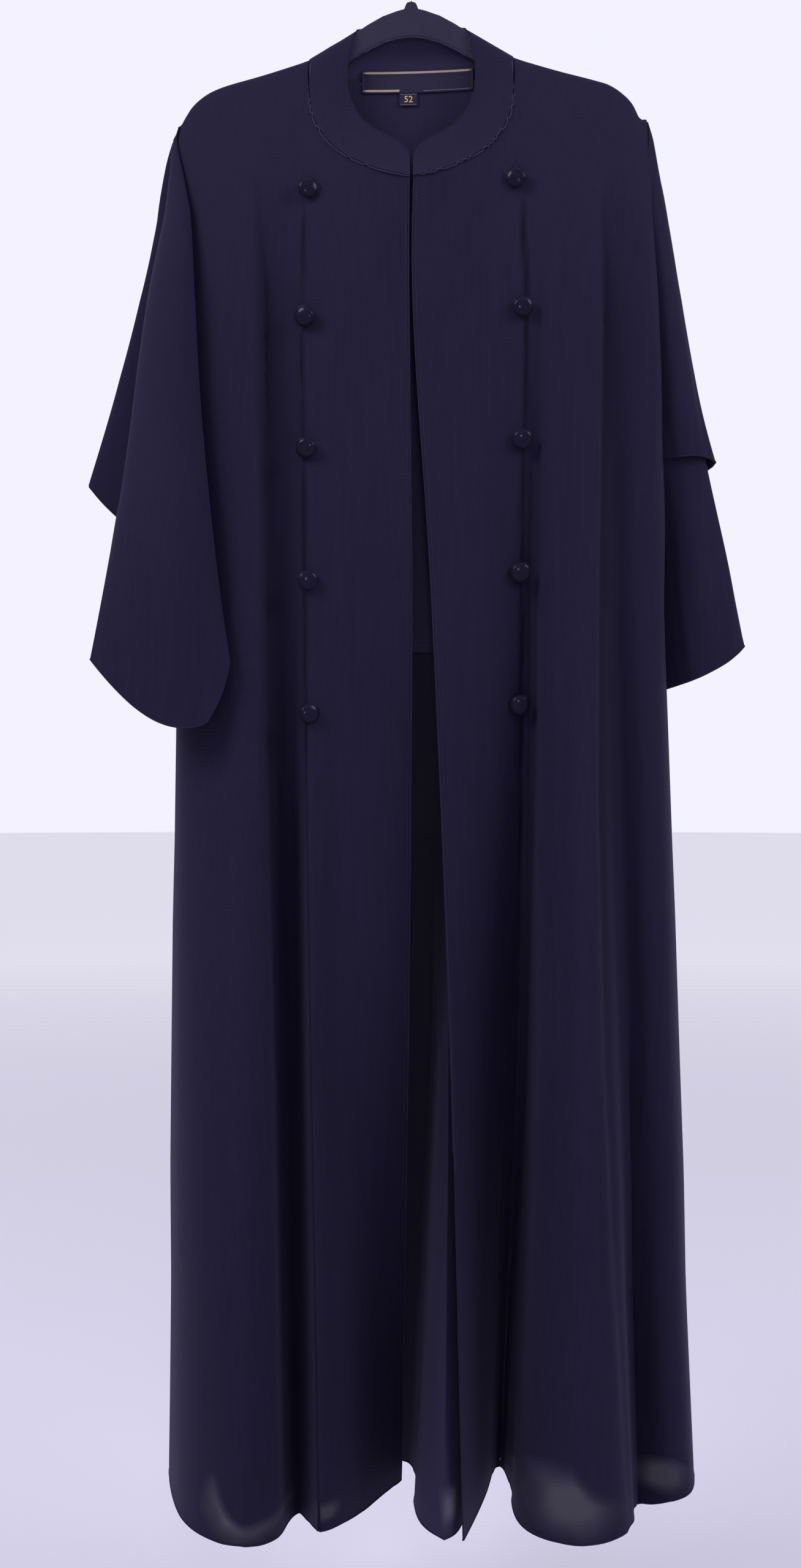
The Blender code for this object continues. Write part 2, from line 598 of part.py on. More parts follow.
def add_hanger(finish, wire_finish, collection):
    """The flat bar: one closed outline, extruded, with its edges rounded; and the wire hook."""
    reach = HANGER_ARM[-1][0]
    columns = [row[0] for row in HANGER_ARM]
    bars = [row[2] for row in HANGER_ARM]
    upper = [(x, hanger_top(x)) for x in np.linspace(-reach, reach, HANGER_COLUMNS)]
    lower = [(x, z - float(smooth_value(abs(x), columns, bars))) for x, z in upper]
    half = len(upper) // 2
    outline = upper[:half] + list(HANGER_NECK) + upper[half + 1 :] + lower[::-1]
    curve = bpy.data.curves.new("hanger", "CURVE")
    curve.dimensions = "2D"
    curve.fill_mode = "BOTH"
    curve.extrude = HANGER_THICKNESS / 2
    spline = curve.splines.new("POLY")
    spline.points.add(len(outline) - 1)
    for point, (x, z) in zip(spline.points, outline):
        point.co = (x * MM, z * MM, 0, 1)
    spline.use_cyclic_u = True
    obj = bpy.data.objects.new("hanger", curve)
    collection.objects.link(obj)
    obj.rotation_euler = (math.pi / 2, 0, 0)
    curve.materials.append(finish)
    weld = obj.modifiers.new("weld", "WELD")
    weld.merge_threshold = 0.00005
    bevel = obj.modifiers.new("rounded edges", "BEVEL")
    bevel.width = HANGER_BEVEL
    bevel.segments = 2
    bevel.limit_method = "ANGLE"
    bevel.angle_limit = math.radians(60)

    stem_foot = HANGER_NECK[1][1] * MM + TOUCH
    wire = bpy.data.curves.new("hanger_hook", "CURVE")
    wire.dimensions = "3D"
    wire.bevel_depth = HOOK_WIRE
    wire.bevel_resolution = 2
    wire.use_fill_caps = True
    centre = Vector((0, 0, -HOOK_RADIUS))
    ring = HOOK_RADIUS + HOOK_WIRE
    path = [Vector((0, 0, stem_foot)), Vector((0, 0, stem_foot + HOOK_STRAIGHT))]
    for degrees in np.linspace(HOOK_START, HOOK_END, HOOK_POINTS):
        angle = math.radians(degrees)
        path.append(centre + Vector((-math.sin(angle), 0, math.cos(angle))) * ring)
    line = wire.splines.new("POLY")
    line.points.add(len(path) - 1)
    for point, place in zip(line.points, path):
        point.co = (*place, 1)
    hook = bpy.data.objects.new("hanger_hook", wire)
    collection.objects.link(hook)
    wire.materials.append(wire_finish)


def turned(name, profile, finish, collection):
    """A shape turned about Z from an (r, z) profile that runs down its outer side."""
    mesh = bpy.data.meshes.new(name)
    mesh.from_pydata([(r, 0, z) for r, z in profile], [(i, i + 1) for i in range(len(profile) - 1)], [])
    obj = bpy.data.objects.new(name, mesh)
    collection.objects.link(obj)
    mesh.materials.append(finish)
    screw = obj.modifiers.new("turn", "SCREW")
    screw.axis = "Z"
    screw.steps = BUTTON_SIDES
    screw.render_steps = BUTTON_SIDES
    screw.use_merge_vertices = True
    screw.merge_threshold = 0.00005
    screw.use_smooth_shade = True
    return obj


def button_profile():
    """The dome from its top to its rim, then the underside and the shank."""
    dome = []
    for k in range(DOME_RINGS):
        angle = k * DOME_STEP
        dome.append((BUTTON_RADIUS * math.sin(angle), DOME_FOOT + DOME_RISE * math.cos(angle)))
    return dome + [(r * MM, z * MM) for r, z in BUTTON_UNDER]


def seam_frame(whole, seam, z):
    """The seam's point at height z, the way into the centre panel there, and the way out of the cloth."""
    upper = int(np.argmax(whole[:, seam, 2] <= z)) - 1
    top, foot = whole[upper], whole[upper + 1]
    share = (top[seam, 2] - z) / (top[seam, 2] - foot[seam, 2])
    at_seam = Vector(top[seam] * (1 - share) + foot[seam] * share)
    inner = Vector(top[seam - 1] * (1 - share) + foot[seam - 1] * share)
    along = (inner - at_seam).normalized()
    down = Vector(foot[seam] - top[seam]).normalized()
    normal = along.cross(down).normalized()
    return at_seam, along, -normal if normal.y > 0 else normal


def add_buttons(side, whole, seam, finish, collection):
    """Domed buttons down the panel seam, each on a short shank a little off the cloth."""
    for k in range(BUTTON_COUNT):
        z = (BUTTON_TOP[side] - k * BUTTON_STEP) * MM
        at_seam, along, normal = seam_frame(whole, seam, z)
        button = turned(f"button_{side}_{k + 1}", button_profile(), finish, collection)
        place = at_seam + along * BUTTON_INSET * MM
        button.matrix_world = Matrix.Translation(place) @ normal.to_track_quat("Z", "Y").to_matrix().to_4x4()


def inner_top(line, before, after):
    """The inner layer reaches just above the neck seam, and stops below the shoulders."""
    if line.on_shoulder:
        return line.top_z - INNER_SHOULDER_DROP
    at_corner = before.on_shoulder or after.on_shoulder
    return line.top_z + (-INNER_CORNER_DROP if at_corner else INNER_NECK_RISE)


def add_inner_back(lines, finish, collection):
    """A second layer inside the back, from the neck and shoulders to its own hem."""
    inner = range(INNER_SIDES, len(lines) - INNER_SIDES)
    tops = [inner_top(lines[k], lines[k - 1], lines[k + 1]) for k in inner]
    grid = []
    for row in range(INNER_ROWS):
        points = []
        for k, top in zip(inner, tops):
            x, y, z = lines[k].at(top + (INNER_HEM_Z - top) * row / (INNER_ROWS - 1))
            points.append((x, y - INNER_INSET, z))
        grid.append(points)
    cloth("inner_back", np.array(grid) * MM, finish, collection, forward, wall=INNER_WALL)


def add_label(name, spec, columns, finish, collection):
    """A flat label that follows the back of the neck."""
    middle, width, top, bottom, top_inset, bottom_inset = spec
    outs = [seam[0] for _, seam, _ in COLLAR[:SHOULDER_ROW:-1]]
    depths = [seam[1] for _, seam, _ in COLLAR[:SHOULDER_ROW:-1]]
    grid = []
    for z, inset in ((top, top_inset), (bottom, bottom_inset)):
        xs = np.linspace(middle - width / 2, middle + width / 2, columns)
        ys = [smooth_value(abs(x), outs, depths) - inset for x in xs]
        grid.append([(x, y, z + x * math.tan(LABEL_TILT)) for x, y in zip(xs, ys)])
    cloth(name, np.array(grid) * MM, finish, collection, backward, wall=LABEL_WALL)


def add_sleeve(name, rows, levels, count, finish, collection, faces=(-1, 1)):
    """One sleeve: name is the table's, such as over_left, and faces are its edges' sides."""
    tier, side = name.split("_")
    out, insets = SLEEVE_SEAM[name]
    lines = sleeve_lines(rows, levels, side, out, insets, faces)
    grid = loft(lines, count, SLEEVE_STEPS)
    cloth(f"{tier}_sleeve_{side}", grid, finish, collection, towards(SLEEVE_MIDDLE[name]))


def clear_scene():
    for obj in list(bpy.data.objects):
        bpy.data.objects.remove(obj)


def main():
    clear_scene()
    collection = bpy.data.collections.new("abaya")
    bpy.context.scene.collection.children.link(collection)
    crepe = material("black crepe", (0.012, 0.011, 0.026), 0.75)
    velvet = material("black flocking", (0.016, 0.015, 0.022), 0.9)
    wire = material("hook wire", (0.35, 0.35, 0.37), 0.25, 1.0)
    glossy = material("button", (0.01, 0.01, 0.014), 0.12)
    woven = material("label", (0.02, 0.018, 0.03), 0.6)

    add_hanger(velvet, wire, collection)
    for side, rows in (("right", FRONT_RIGHT), ("left", FRONT_LEFT)):
        whole, seam = body_front(rows, side, crepe, collection)
        add_buttons(side, whole, seam, glossy, collection)

    lines = back_lines()
    cloth("back", loft(lines, BODY_ROWS, BODY_STEPS, BACK_ROLL), crepe, collection, forward)
    add_inner_back(lines, crepe, collection)
    add_collar(crepe, collection)
    add_label("neck_label", NECK_LABEL, 7, woven, collection)
    add_label("size_tag", SIZE_TAG, 2, woven, collection)

    add_sleeve("over_left", OVER_LEFT, OVER_LEVELS, OVER_ROWS, crepe, collection)
    add_sleeve("over_right", OVER_RIGHT, OVER_LEVELS, OVER_ROWS, crepe, collection, (1, 1))
    add_sleeve("long_left", LONG_LEFT, LONG_LEVELS, LONG_ROWS, crepe, collection)
    add_sleeve("long_right", LONG_RIGHT, LONG_LEVELS, LONG_ROWS, crepe, collection)


main()
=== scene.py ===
"""An open abaya cloak on a flat flocked hanger: its cloth, thread, labels, buttons and hook.

Every cloth piece starts as a copy of its CAD wall, is smoothed, and takes the same small ripples
wherever it lies, so the seams stay closed. Metres, +Z up, the front faces -Y.
"""

import math

import bmesh
import bpy
import numpy as np
from mathutils import Matrix, Vector, bvhtree, kdtree, noise


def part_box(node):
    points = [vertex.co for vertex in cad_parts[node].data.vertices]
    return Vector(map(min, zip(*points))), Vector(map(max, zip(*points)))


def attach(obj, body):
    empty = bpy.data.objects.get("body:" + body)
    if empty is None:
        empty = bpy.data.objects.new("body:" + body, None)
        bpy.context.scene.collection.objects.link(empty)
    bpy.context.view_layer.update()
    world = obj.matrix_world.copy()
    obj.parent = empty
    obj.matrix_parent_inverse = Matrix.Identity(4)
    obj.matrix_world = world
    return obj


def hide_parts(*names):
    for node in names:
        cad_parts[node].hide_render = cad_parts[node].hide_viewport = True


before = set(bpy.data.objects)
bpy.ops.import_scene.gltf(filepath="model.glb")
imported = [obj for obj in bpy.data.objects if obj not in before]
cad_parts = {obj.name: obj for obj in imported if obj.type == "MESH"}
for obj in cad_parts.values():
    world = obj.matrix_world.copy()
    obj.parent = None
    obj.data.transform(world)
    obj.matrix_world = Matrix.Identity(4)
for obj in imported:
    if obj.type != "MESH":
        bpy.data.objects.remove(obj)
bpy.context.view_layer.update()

MM = 0.001

# Camera and room: the frame's height in pixels, and the width of one pixel at the hook
CAMERA_PLACE = (-0.0099, -1.65, -0.777)
CAMERA_HEIGHT = 2560
PIXEL_AT_HOOK = 0.000565
SENSOR = 36.0
FLOOR_Z = -1.62
FLOOR_RADIUS = 30.0
WALL_COLOUR = (0.900, 0.885, 0.998)
SOFT_LIGHT = (0.32, 0.95)
SOFT_COLOUR = (0.90, 0.88, 1.0)
LAMP_COLOUR = (0.93, 0.92, 1.0)
# Lights: name, place, what each points at, its breadth and its power
LIGHTS = (
    ("key", (-1.68, -1.17, 0.9), (0, 0, -0.6), 1.2, 51),
    ("fill", (1.85, -0.95, 0.7), (0, 0, -0.6), 1.2, 38),
    ("front", (0.06, -2.1, -0.45), (0, 0, -0.75), 0.22, 6),
)

# Where rays towards the front start, and the pitch of points along a smooth path
FAR_FRONT = -0.5
PATH_STEP = 2.5 * MM

# Cloth
WELD = 0.02 * MM
SHARP = math.radians(62)
QUAD_ANGLE = math.radians(70)
RIM_ANGLE = math.radians(50)
SMOOTHING = 2
HEM_Z = -1.412
BACK_ALPHA = 0.945
PANEL_SEAM_REACH = 9.0 * MM
SIDE_SEAM_REACH = 2.0 * MM
SEAM_SINK = 0.5 * MM
SEAM_LAP = 0.07 * MM
SEAM_TAPE, SEAM_TAPE_DEPTH = 2.0 * MM, 1.3 * MM
SEAM_SHADE = 4.0 * MM
SEAM_SHADE_TOP = -0.215
CORNER_TURN = math.radians(24)
RECESS_SHADE = 0.034
SHADE_DEPTH = 0.25
HEM_ROLL, COLLAR_ROLL = 0.62 * MM, 0.6 * MM

# Light that comes through the hem, in millimetres: an oval (middle x, height above the hem, half
# breadth, half height), the oval of the layer behind that it leaves out, and how much gets through
FRONT_PATCHES = (
    ((-140, 25, 44, 31), (-124, 60, 38, 46), 0.31),
    ((-73, 11, 14, 10), None, 0.20),
    ((137, 28, 54, 36), (192, 94, 54, 66), 0.25),
    ((225, 20, 34, 19), None, 0.20),
)
BACK_PATCHES = (((31, 19, 8.5, 19), None, 0.20),)

# How far the fronts' hem hangs lower, along x, in millimetres
HEM_EASE = (
    (-224, 2.0), (-200, 3.5), (-160, 2.5), (-140, 0.2), (-127, 4.5), (-105, 10.0), (-92, 10.0),
    (-82, 2.5), (-60, 4.0), (-40, 7.0), (-8, 7.0), (42, 5.0), (78, 4.0), (90, 8.5), (100, 7.5),
    (118, 5.5), (150, 3.5), (190, 3.0), (199, 8.5), (213, 6.5), (228, 1.5), (259, -1.0),
)
BLUNT = 3.0
HEM_EASE_TOP, HEM_EASE_WHOLE = -1280, -1395

# Outline of the shoulders and sides: height, then how far the cloth stands out at the wearer's
# right and at their left, and from which x and over what breadth, in millimetres
SHOULDER_EASE = (
    (-160, 0.0, 0.0), (-175, 2.5, 0.8), (-184, 5.5, 0.5), (-200, 5.0, -1.3), (-212, 3.8, -2.4),
    (-223, 2.8, -2.8), (-257, 0.4, -2.4), (-290, 1.5, -1.0), (-330, 3.2, 0.3), (-400, 3.8, 0.6),
    (-470, 2.6, 0.6), (-570, 0.6, 0.6), (-650, 0.0, 0.0), (-830, 0.6, 1.0), (-900, 1.6, 1.7),
    (-1130, 1.6, 2.0), (-1230, 0.0, 0.0),
)
SHOULDER_FROM, SHOULDER_OVER = 150, 45
SIDE_EASE = ((-185, 0.0), (-230, 4.2), (-400, 4.2), (-470, 2.9), (-545, 2.8), (-610, 0.0))
SIDE_FROM, SIDE_OVER = 200, 16

# The fold of the back that comes forward: where its ease starts and how fast it grows downwards,
# forwards and to its edge, and how much wider and lower it stands, in millimetres
LOBE_DOWN, LOBE_FORWARD, LOBE_EDGE = (-1150, 200), (-20, 40), (24, 16)
LOBE_WIDER, LOBE_LOWER = 5.0, 3.5

# Small ripples: the height where they start, how fast they grow, and the depth of a face, in metres
RIPPLE_TOP, RIPPLE_GROWTH, RIPPLE_FACE = -0.17, 0.35, 0.014

# Folds of the two fronts: a path of (z, x) down the cloth, how deep it drops and over what breadth
# it comes back, the side it drops to, and the heights where it starts and is whole, in millimetres
FOLDS = (
    (((-250, -142), (-330, -138), (-777, -131), (-1130, -121), (-1412, -112)),
     13.0, 25.0, 1, -200, -400),
    (((-250, -98.5), (-600, -97), (-1000, -90.5), (-1412, -81)), 3.5, 18.0, -1, -240, -450),
    (((-200, 172), (-400, 169), (-800, 163), (-1033, 165), (-1169, 171), (-1412, 184)),
     13.0, 21.0, 1, -190, -400),
    (((-250, 120), (-777, 116), (-1130, 109), (-1412, 90)), 8.5, 22.0, -1, -240, -620),
    (((-250, 131), (-700, 131), (-1412, 120)), 1.8, 12.0, 1, -190, -300),
    (((-250, -52), (-777, -56), (-1412, -50)), 1.2, 16.0, 1, -420, -700),
)
FOLD_EDGE = 4.0
FOLD_CREST = 0.22
FOLD_END = (-1300, -1400, 0.45)
CREST_BREADTH = 7.0

# Buttons: their size, the dimple that each one pulls, and how it hangs (down, sideways)
BUTTON_RADIUS = 9.5 * MM
BUTTON_THICK = 1.7 * MM
DOME_RINGS, DOME_RISE, DOME_STEP = 8, 3.3 * MM, 0.94
DIMPLE = 1.1
DIMPLE_BREADTH = 15.0
BUTTON_HANG = {
    "right": ((6, 24), (10, -14), (16, -8), (8, 12), (4, 22)),
    "left": ((9, -18), (7, 5), (12, -6), (9, -12), (6, -20)),
}

# Half of the neck seam, from the front join to the back of the neck, in millimetres
NECK_SEAM = (
    (2.0, -33.5, -227.0), (19.0, -33.0, -223.5), (38.0, -31.0, -217.0), (61.0, -28.0, -205.0),
    (78.0, -24.0, -189.0), (90.0, -17.5, -165.0), (93.5, -10.0, -138.0), (93.4, -5.6, -113.2),
    (93.0, 0.0, -107.9), (92.2, 6.8, -111.6), (80.0, 12.0, -118.5), (48.0, 17.5, -124.0),
    (0.0, 20.0, -126.0),
)
HANGER_TILT = math.radians(0.8)
NECK_MIDDLE_Z = -165 * MM
PIPING_RADIUS, PIPING_LIFT = 0.72 * MM, 0.95

# Thread: length and pitch of a stitch, and its radius; the share between its tips, and their taper
STITCH = (2.3 * MM, 3.1 * MM, 0.17 * MM)
STITCH_BODY, STITCH_TAPER = 0.6, 0.45
FRONT_STITCH_INSET = 2.6 * MM
INNER_HEM_ROWS = (-0.6515, -0.6475)
# Rows of points along an edge or seam (from, to, how many), and the rays that look for it (from,
# to, step)
INNER_HEM_POINTS = (-0.16, 0.17, 60)
FRONT_ROW, FRONT_SEARCH = (-0.235, -1.395, 90), (-0.03, 0.09, 0.0008)
TAPE_ROW, TAPE_SEARCH = (-0.26, HEM_Z + 0.002, 150), (0.118, 0.055, -0.0003)
LIP_ROW, LIP_SEARCH = (-0.043, 0.050, 48), (-0.070, -0.112, -0.0004)

# Labels: their tilt, and the neck label's lines (share of its half height, name, part of its
# length, breadth)
LABEL_TILT = math.radians(1.6)
LABEL_LINES = (
    (0.80, "Top", (0.0, 1.0), 2.1 * MM),
    (-0.80, "Bottom", (0.0, 0.34), 2.1 * MM),
    (-0.84, "Worn", (0.52, 1.0), 0.8 * MM),
)
NUMBER_SIZE = 8.4 * MM

# The hook's wire
HOOK_RADIUS = 19.0 * MM
HOOK_WIRE = 1.75 * MM
HOOK_FOOT_Z = -55.7 * MM
HOOK_STRAIGHT = 6 * MM
HOOK_SWEEP = (180.0, -78.0)
HOOK_STEPS = 44


# ---------------------------------------------------------------- materials


def new_material(name):
    made = bpy.data.materials.new(name)
    made.use_nodes = True
    made.node_tree.nodes.clear()
    out = made.node_tree.nodes.new("ShaderNodeOutputMaterial")
    shader = made.node_tree.nodes.new("ShaderNodeBsdfPrincipled")
    made.node_tree.links.new(shader.outputs["BSDF"], out.inputs["Surface"])
    return made, made.node_tree, shader


def add(tree, kind, **settings):
    node = tree.nodes.new(kind)
    for key, value in settings.items():
        setattr(node, key, value)
    return node


def settle(node, **values):
    """Set constant values on a node's own sockets; _ in a name stands for a space."""
    for name, value in values.items():
        node.inputs[name.replace("_", " ")].default_value = value


def object_coordinates(tree, scale):
    """Object coordinates, stretched by scale, from one Mapping node."""
    coordinates = add(tree, "ShaderNodeTexCoord")
    mapping = add(tree, "ShaderNodeMapping")
    settle(mapping, Scale=scale)
    tree.links.new(coordinates.outputs["Object"], mapping.inputs["Vector"])
    return mapping.outputs["Vector"]


def noise_value(tree, scale, detail=2.0, stretch=(1, 1, 1)):
    texture = add(tree, "ShaderNodeTexNoise")
    settle(texture, Scale=scale, Detail=detail)
    tree.links.new(object_coordinates(tree, stretch), texture.inputs["Vector"])
    return texture.outputs["Fac"]


def remap(tree, value, low, high, new_low=0.0, new_high=1.0):
    node = add(tree, "ShaderNodeMapRange")
    settle(node, From_Min=low, From_Max=high, To_Min=new_low, To_Max=new_high)
    tree.links.new(value, node.inputs["Value"])
    return node.outputs["Result"]


def two_colours(tree, value, first, second):
    """Mix two colours, each a plain colour or an output of another node."""
    mix = add(tree, "ShaderNodeMix", data_type="RGBA")
    for name, colour in (("A", first), ("B", second)):
        if isinstance(colour, tuple):
            mix.inputs[name].default_value = (*colour, 1.0)
        else:
            tree.links.new(colour, mix.inputs[name])
    tree.links.new(value, mix.inputs["Factor"])
    return mix.outputs["Result"]


def calculate(tree, operation, a, b):
    node = add(tree, "ShaderNodeMath", operation=operation)
    for socket, value in zip(node.inputs, (a, b)):
        if isinstance(value, (int, float)):
            socket.default_value = value
        else:
            tree.links.new(value, socket)
    return node.outputs["Value"]


def bump(tree, shader, height, distance, strength=1.0):
    node = add(tree, "ShaderNodeBump")
    settle(node, Distance=distance, Strength=strength)
    tree.links.new(height, node.inputs["Height"])
    tree.links.new(node.outputs["Normal"], shader.inputs["Normal"])


def weave_group():
    """Crepe weave: uneven tone, a pebbled crossing of warp and weft, and its threads' height."""
    group = bpy.data.node_groups.new("crepe weave", "ShaderNodeTree")
    for name, kind in (("Fineness", "NodeSocketFloat"), ("Unevenness", "NodeSocketFloat")):
        group.interface.new_socket(name, in_out="INPUT", socket_type=kind)
    for name in ("Tone", "Height"):
        group.interface.new_socket(name, in_out="OUTPUT", socket_type="NodeSocketFloat")
    given = group.nodes.new("NodeGroupInput")
    put = group.nodes.new("NodeGroupOutput")
    threads = []
    for direction in ("X", "Z"):
        wave = add(group, "ShaderNodeTexWave", wave_type="BANDS", bands_direction=direction)
        settle(wave, Distortion=2.4, Detail=1.5, Detail_Scale=1.2)
        group.links.new(given.outputs["Fineness"], wave.inputs["Scale"])
        group.links.new(object_coordinates(group, (1, 1, 1)), wave.inputs["Vector"])
        threads.append(wave.outputs["Fac"])
    crossing = calculate(group, "MULTIPLY", threads[0], threads[1])
    patches = noise_value(group, 7.0, 3.0, (1.0, 1.0, 0.5))
    slubs = noise_value(group, 300.0, 1.0, (1.0, 1.0, 0.05))
    uneven = calculate(group, "MULTIPLY", calculate(group, "ADD", patches, slubs),
                       given.outputs["Unevenness"])
    tone = calculate(group, "ADD", calculate(group, "MULTIPLY", crossing, 0.5), uneven)
    group.links.new(tone, put.inputs["Tone"])
    group.links.new(calculate(group, "ADD", crossing, calculate(group, "MULTIPLY", slubs, 0.4)),
                    put.inputs["Height"])
    return group


def oval(tree, x, height, breadth, reach):
    """How far out a point of the cloth is in one blunt oval above the hem: 1 on its line."""
    coordinates = add(tree, "ShaderNodeTexCoord")
    middle = add(tree, "ShaderNodeMapping", vector_type="TEXTURE")
    settle(middle, Location=(x * MM, 0, HEM_Z + height * MM),
           Scale=(breadth * MM, 1000, reach * MM))
    tree.links.new(coordinates.outputs["Object"], middle.inputs["Vector"])
    split = add(tree, "ShaderNodeSeparateXYZ")
    tree.links.new(middle.outputs["Vector"], split.inputs["Vector"])
    across, upward = (
        calculate(tree, "POWER", calculate(tree, "ABSOLUTE", split.outputs[axis], 0.0), BLUNT)
        for axis in "XZ")
    return calculate(tree, "POWER", calculate(tree, "ADD", across, upward), 1 / BLUNT)


def sheer_patch(tree, patch, behind, amount):
    """How much light shows through one patch: soft towards the hem, crisp at the layer behind."""
    wobble = calculate(tree, "MULTIPLY", noise_value(tree, 45.0, 2.0, (1, 0.2, 0.6)), 0.5)
    out = calculate(tree, "ADD", oval(tree, *patch), wobble)
    inside = remap(tree, out, 1.30, 0.55, 0.0, amount)
    if not behind:
        return inside
    hidden = calculate(tree, "ADD", oval(tree, *behind), calculate(tree, "MULTIPLY", wobble, 0.4))
    return calculate(tree, "MULTIPLY", inside, remap(tree, hidden, 1.04, 1.24))


def crepe_material(name, weave, dark, light, patches=(), opacity=1.0, inside=None):
    """Matte crepe. Its patches let light through; inside: axis, from, to, and a lighter colour
    blended in along that axis as painted light.
    """
    made, tree, shader = new_material(name)
    woven = add(tree, "ShaderNodeGroup", node_tree=weave)
    settle(woven, Fineness=330.0, Unevenness=0.45)
    tone = woven.outputs["Tone"]
    colour = two_colours(tree, remap(tree, tone, 0.30, 0.85), dark, light)
    # painted light: where inside is given, the colour turns lighter along one axis, standing in for
    # light that reaches that part
    if inside:
        axis, start, end, painted_light_colour = inside
        coordinates = add(tree, "ShaderNodeTexCoord")
        split = add(tree, "ShaderNodeSeparateXYZ")
        tree.links.new(coordinates.outputs["Object"], split.inputs["Vector"])
        painted_light_share = remap(tree, split.outputs[axis], start, end)
        colour = two_colours(tree, painted_light_share, colour, painted_light_colour)
    # painted shade: the shade attribute darkens the colour deep in the recesses and along the panel
    # seams
    shade = add(tree, "ShaderNodeAttribute", attribute_name="shade").outputs["Fac"]
    darkest = tuple(channel * SHADE_DEPTH for channel in dark)
    tree.links.new(two_colours(tree, shade, colour, darkest), shader.inputs["Base Color"])
    tree.links.new(remap(tree, tone, 0.3, 0.8, 0.72, 0.90), shader.inputs["Roughness"])
    bump(tree, shader, woven.outputs["Height"], 0.12 * MM, 0.7)
    settle(shader, Specular_IOR_Level=0.10, Specular_Tint=(0.62, 0.56, 1.0, 1.0),
           Sheen_Weight=0.055, Sheen_Roughness=0.4, Sheen_Tint=(0.60, 0.54, 1.0, 1.0))
    if patches:
        through = [sheer_patch(tree, *patch) for patch in patches]
        total = through[0]
        for other in through[1:]:
            total = calculate(tree, "MAXIMUM", total, other)
        total = calculate(tree, "MULTIPLY", total, calculate(tree, "SUBTRACT", 1.0, shade))
        tree.links.new(calculate(tree, "SUBTRACT", opacity, total), shader.inputs["Alpha"])
    return made


def thread_material(name, colour):
    made, tree, shader = new_material(name)
    twist = noise_value(tree, 2400.0, 1.0)
    darker = tuple(channel * 0.7 for channel in colour)
    tree.links.new(two_colours(tree, twist, darker, colour), shader.inputs["Base Color"])
    bump(tree, shader, twist, 0.05 * MM)
    settle(shader, Roughness=0.6, Specular_IOR_Level=0.3)
    return made


def flock_material(name, dark, light):
    made, tree, shader = new_material(name)
    nap = noise_value(tree, 1500.0, 2.0)
    wear = noise_value(tree, 40.0, 3.0)
    tree.links.new(two_colours(tree, wear, dark, light), shader.inputs["Base Color"])
    bump(tree, shader, nap, 0.15 * MM)
    settle(shader, Roughness=0.95, Specular_IOR_Level=0.1, Sheen_Weight=0.14,
           Sheen_Roughness=0.35, Sheen_Tint=(0.75, 0.7, 1.0, 1.0))
    return made


def wire_material():
    made, tree, shader = new_material("polished hook wire")
    scuffs = noise_value(tree, 700.0, 3.0, (1, 1, 0.15))
    tree.links.new(two_colours(tree, scuffs, (0.50, 0.50, 0.54), (0.72, 0.72, 0.76)),
                   shader.inputs["Base Color"])
    tree.links.new(remap(tree, scuffs, 0.3, 0.7, 0.16, 0.32), shader.inputs["Roughness"])
    settle(shader, Metallic=1.0)
    return made


def button_material():
    made, tree, shader = new_material("glossy button")
    clouds = noise_value(tree, 220.0, 2.0)
    tree.links.new(two_colours(tree, clouds, (0.0046, 0.0040, 0.0098), (0.0076, 0.0066, 0.0152)),
                   shader.inputs["Base Color"])
    tree.links.new(remap(tree, noise_value(tree, 90.0), 0.3, 0.7, 0.11, 0.18),
                   shader.inputs["Roughness"])
    bump(tree, shader, noise_value(tree, 160.0, 2.0), 0.10 * MM, 0.5)
    settle(shader, Specular_IOR_Level=0.10, Specular_Tint=(0.62, 0.58, 0.95, 1.0))
    return made


def label_material():
    made, tree, shader = new_material("woven label")
    weft = add(tree, "ShaderNodeTexWave", wave_type="BANDS", bands_direction="Z")
    settle(weft, Scale=620.0, Distortion=0.6)
    tree.links.new(object_coordinates(tree, (1, 1, 1)), weft.inputs["Vector"])
    ground = two_colours(tree, weft.outputs["Fac"],
                         (0.0120, 0.0100, 0.0240), (0.0210, 0.0180, 0.0400))
    tree.links.new(ground, shader.inputs["Base Color"])
    bump(tree, shader, weft.outputs["Fac"], 0.05 * MM)
    settle(shader, Roughness=0.6, Specular_IOR_Level=0.06)
    return made


def gold_material(name, dark, light):
    made, tree, shader = new_material(name)
    strands = noise_value(tree, 1800.0, 1.0, (0.1, 1, 1))
    tree.links.new(two_colours(tree, strands, dark, light), shader.inputs["Base Color"])
    bump(tree, shader, strands, 0.05 * MM)
    settle(shader, Roughness=0.5, Metallic=0.25)
    return made


def floor_material():
    made, tree, shader = new_material("pale floor")
    coordinates = add(tree, "ShaderNodeTexCoord")
    length = add(tree, "ShaderNodeVectorMath", operation="LENGTH")
    tree.links.new(coordinates.outputs["Object"], length.inputs[0])
    # painted shade: the floor is darker near its middle, under the cloak, turning pale further out
    far = remap(tree, length.outputs["Value"], 1.0, 7.0)
    tree.links.new(two_colours(tree, far, (0.584, 0.572, 0.65), (0.97, 0.96, 0.985)),
                   shader.inputs["Base Color"])
    settle(shader, Roughness=0.9, Specular_IOR_Level=0.1)
    return made


# ---------------------------------------------------------------- mesh tools


def only_select(obj):
    bpy.ops.object.select_all(action="DESELECT")
    obj.select_set(True)
    bpy.context.view_layer.objects.active = obj


def new_object(name, data):
    obj = bpy.data.objects.new(name, data)
    bpy.context.scene.collection.objects.link(obj)
    return obj


def point_tree(points):
    tree = kdtree.KDTree(len(points))
    for index, place in enumerate(points):
        tree.insert(place, index)
    tree.balance()
    return tree


def at_height(table, z, column=1):
    """What a table says at height z; its heights fall from row to row."""
    return float(np.interp(-z, [-row[0] for row in table], [row[column] for row in table]))


def select_none(kind):
    """Nothing selected, in object mode, before points, edges or faces are chosen by place."""
    bpy.ops.object.mode_set(mode="EDIT")
    bpy.ops.mesh.select_mode(type=kind)
    bpy.ops.mesh.select_all(action="DESELECT")
    bpy.ops.object.mode_set(mode="OBJECT")


def smoothstep(value):
    value = min(max(value, 0.0), 1.0)
    return value * value * (3 - 2 * value)


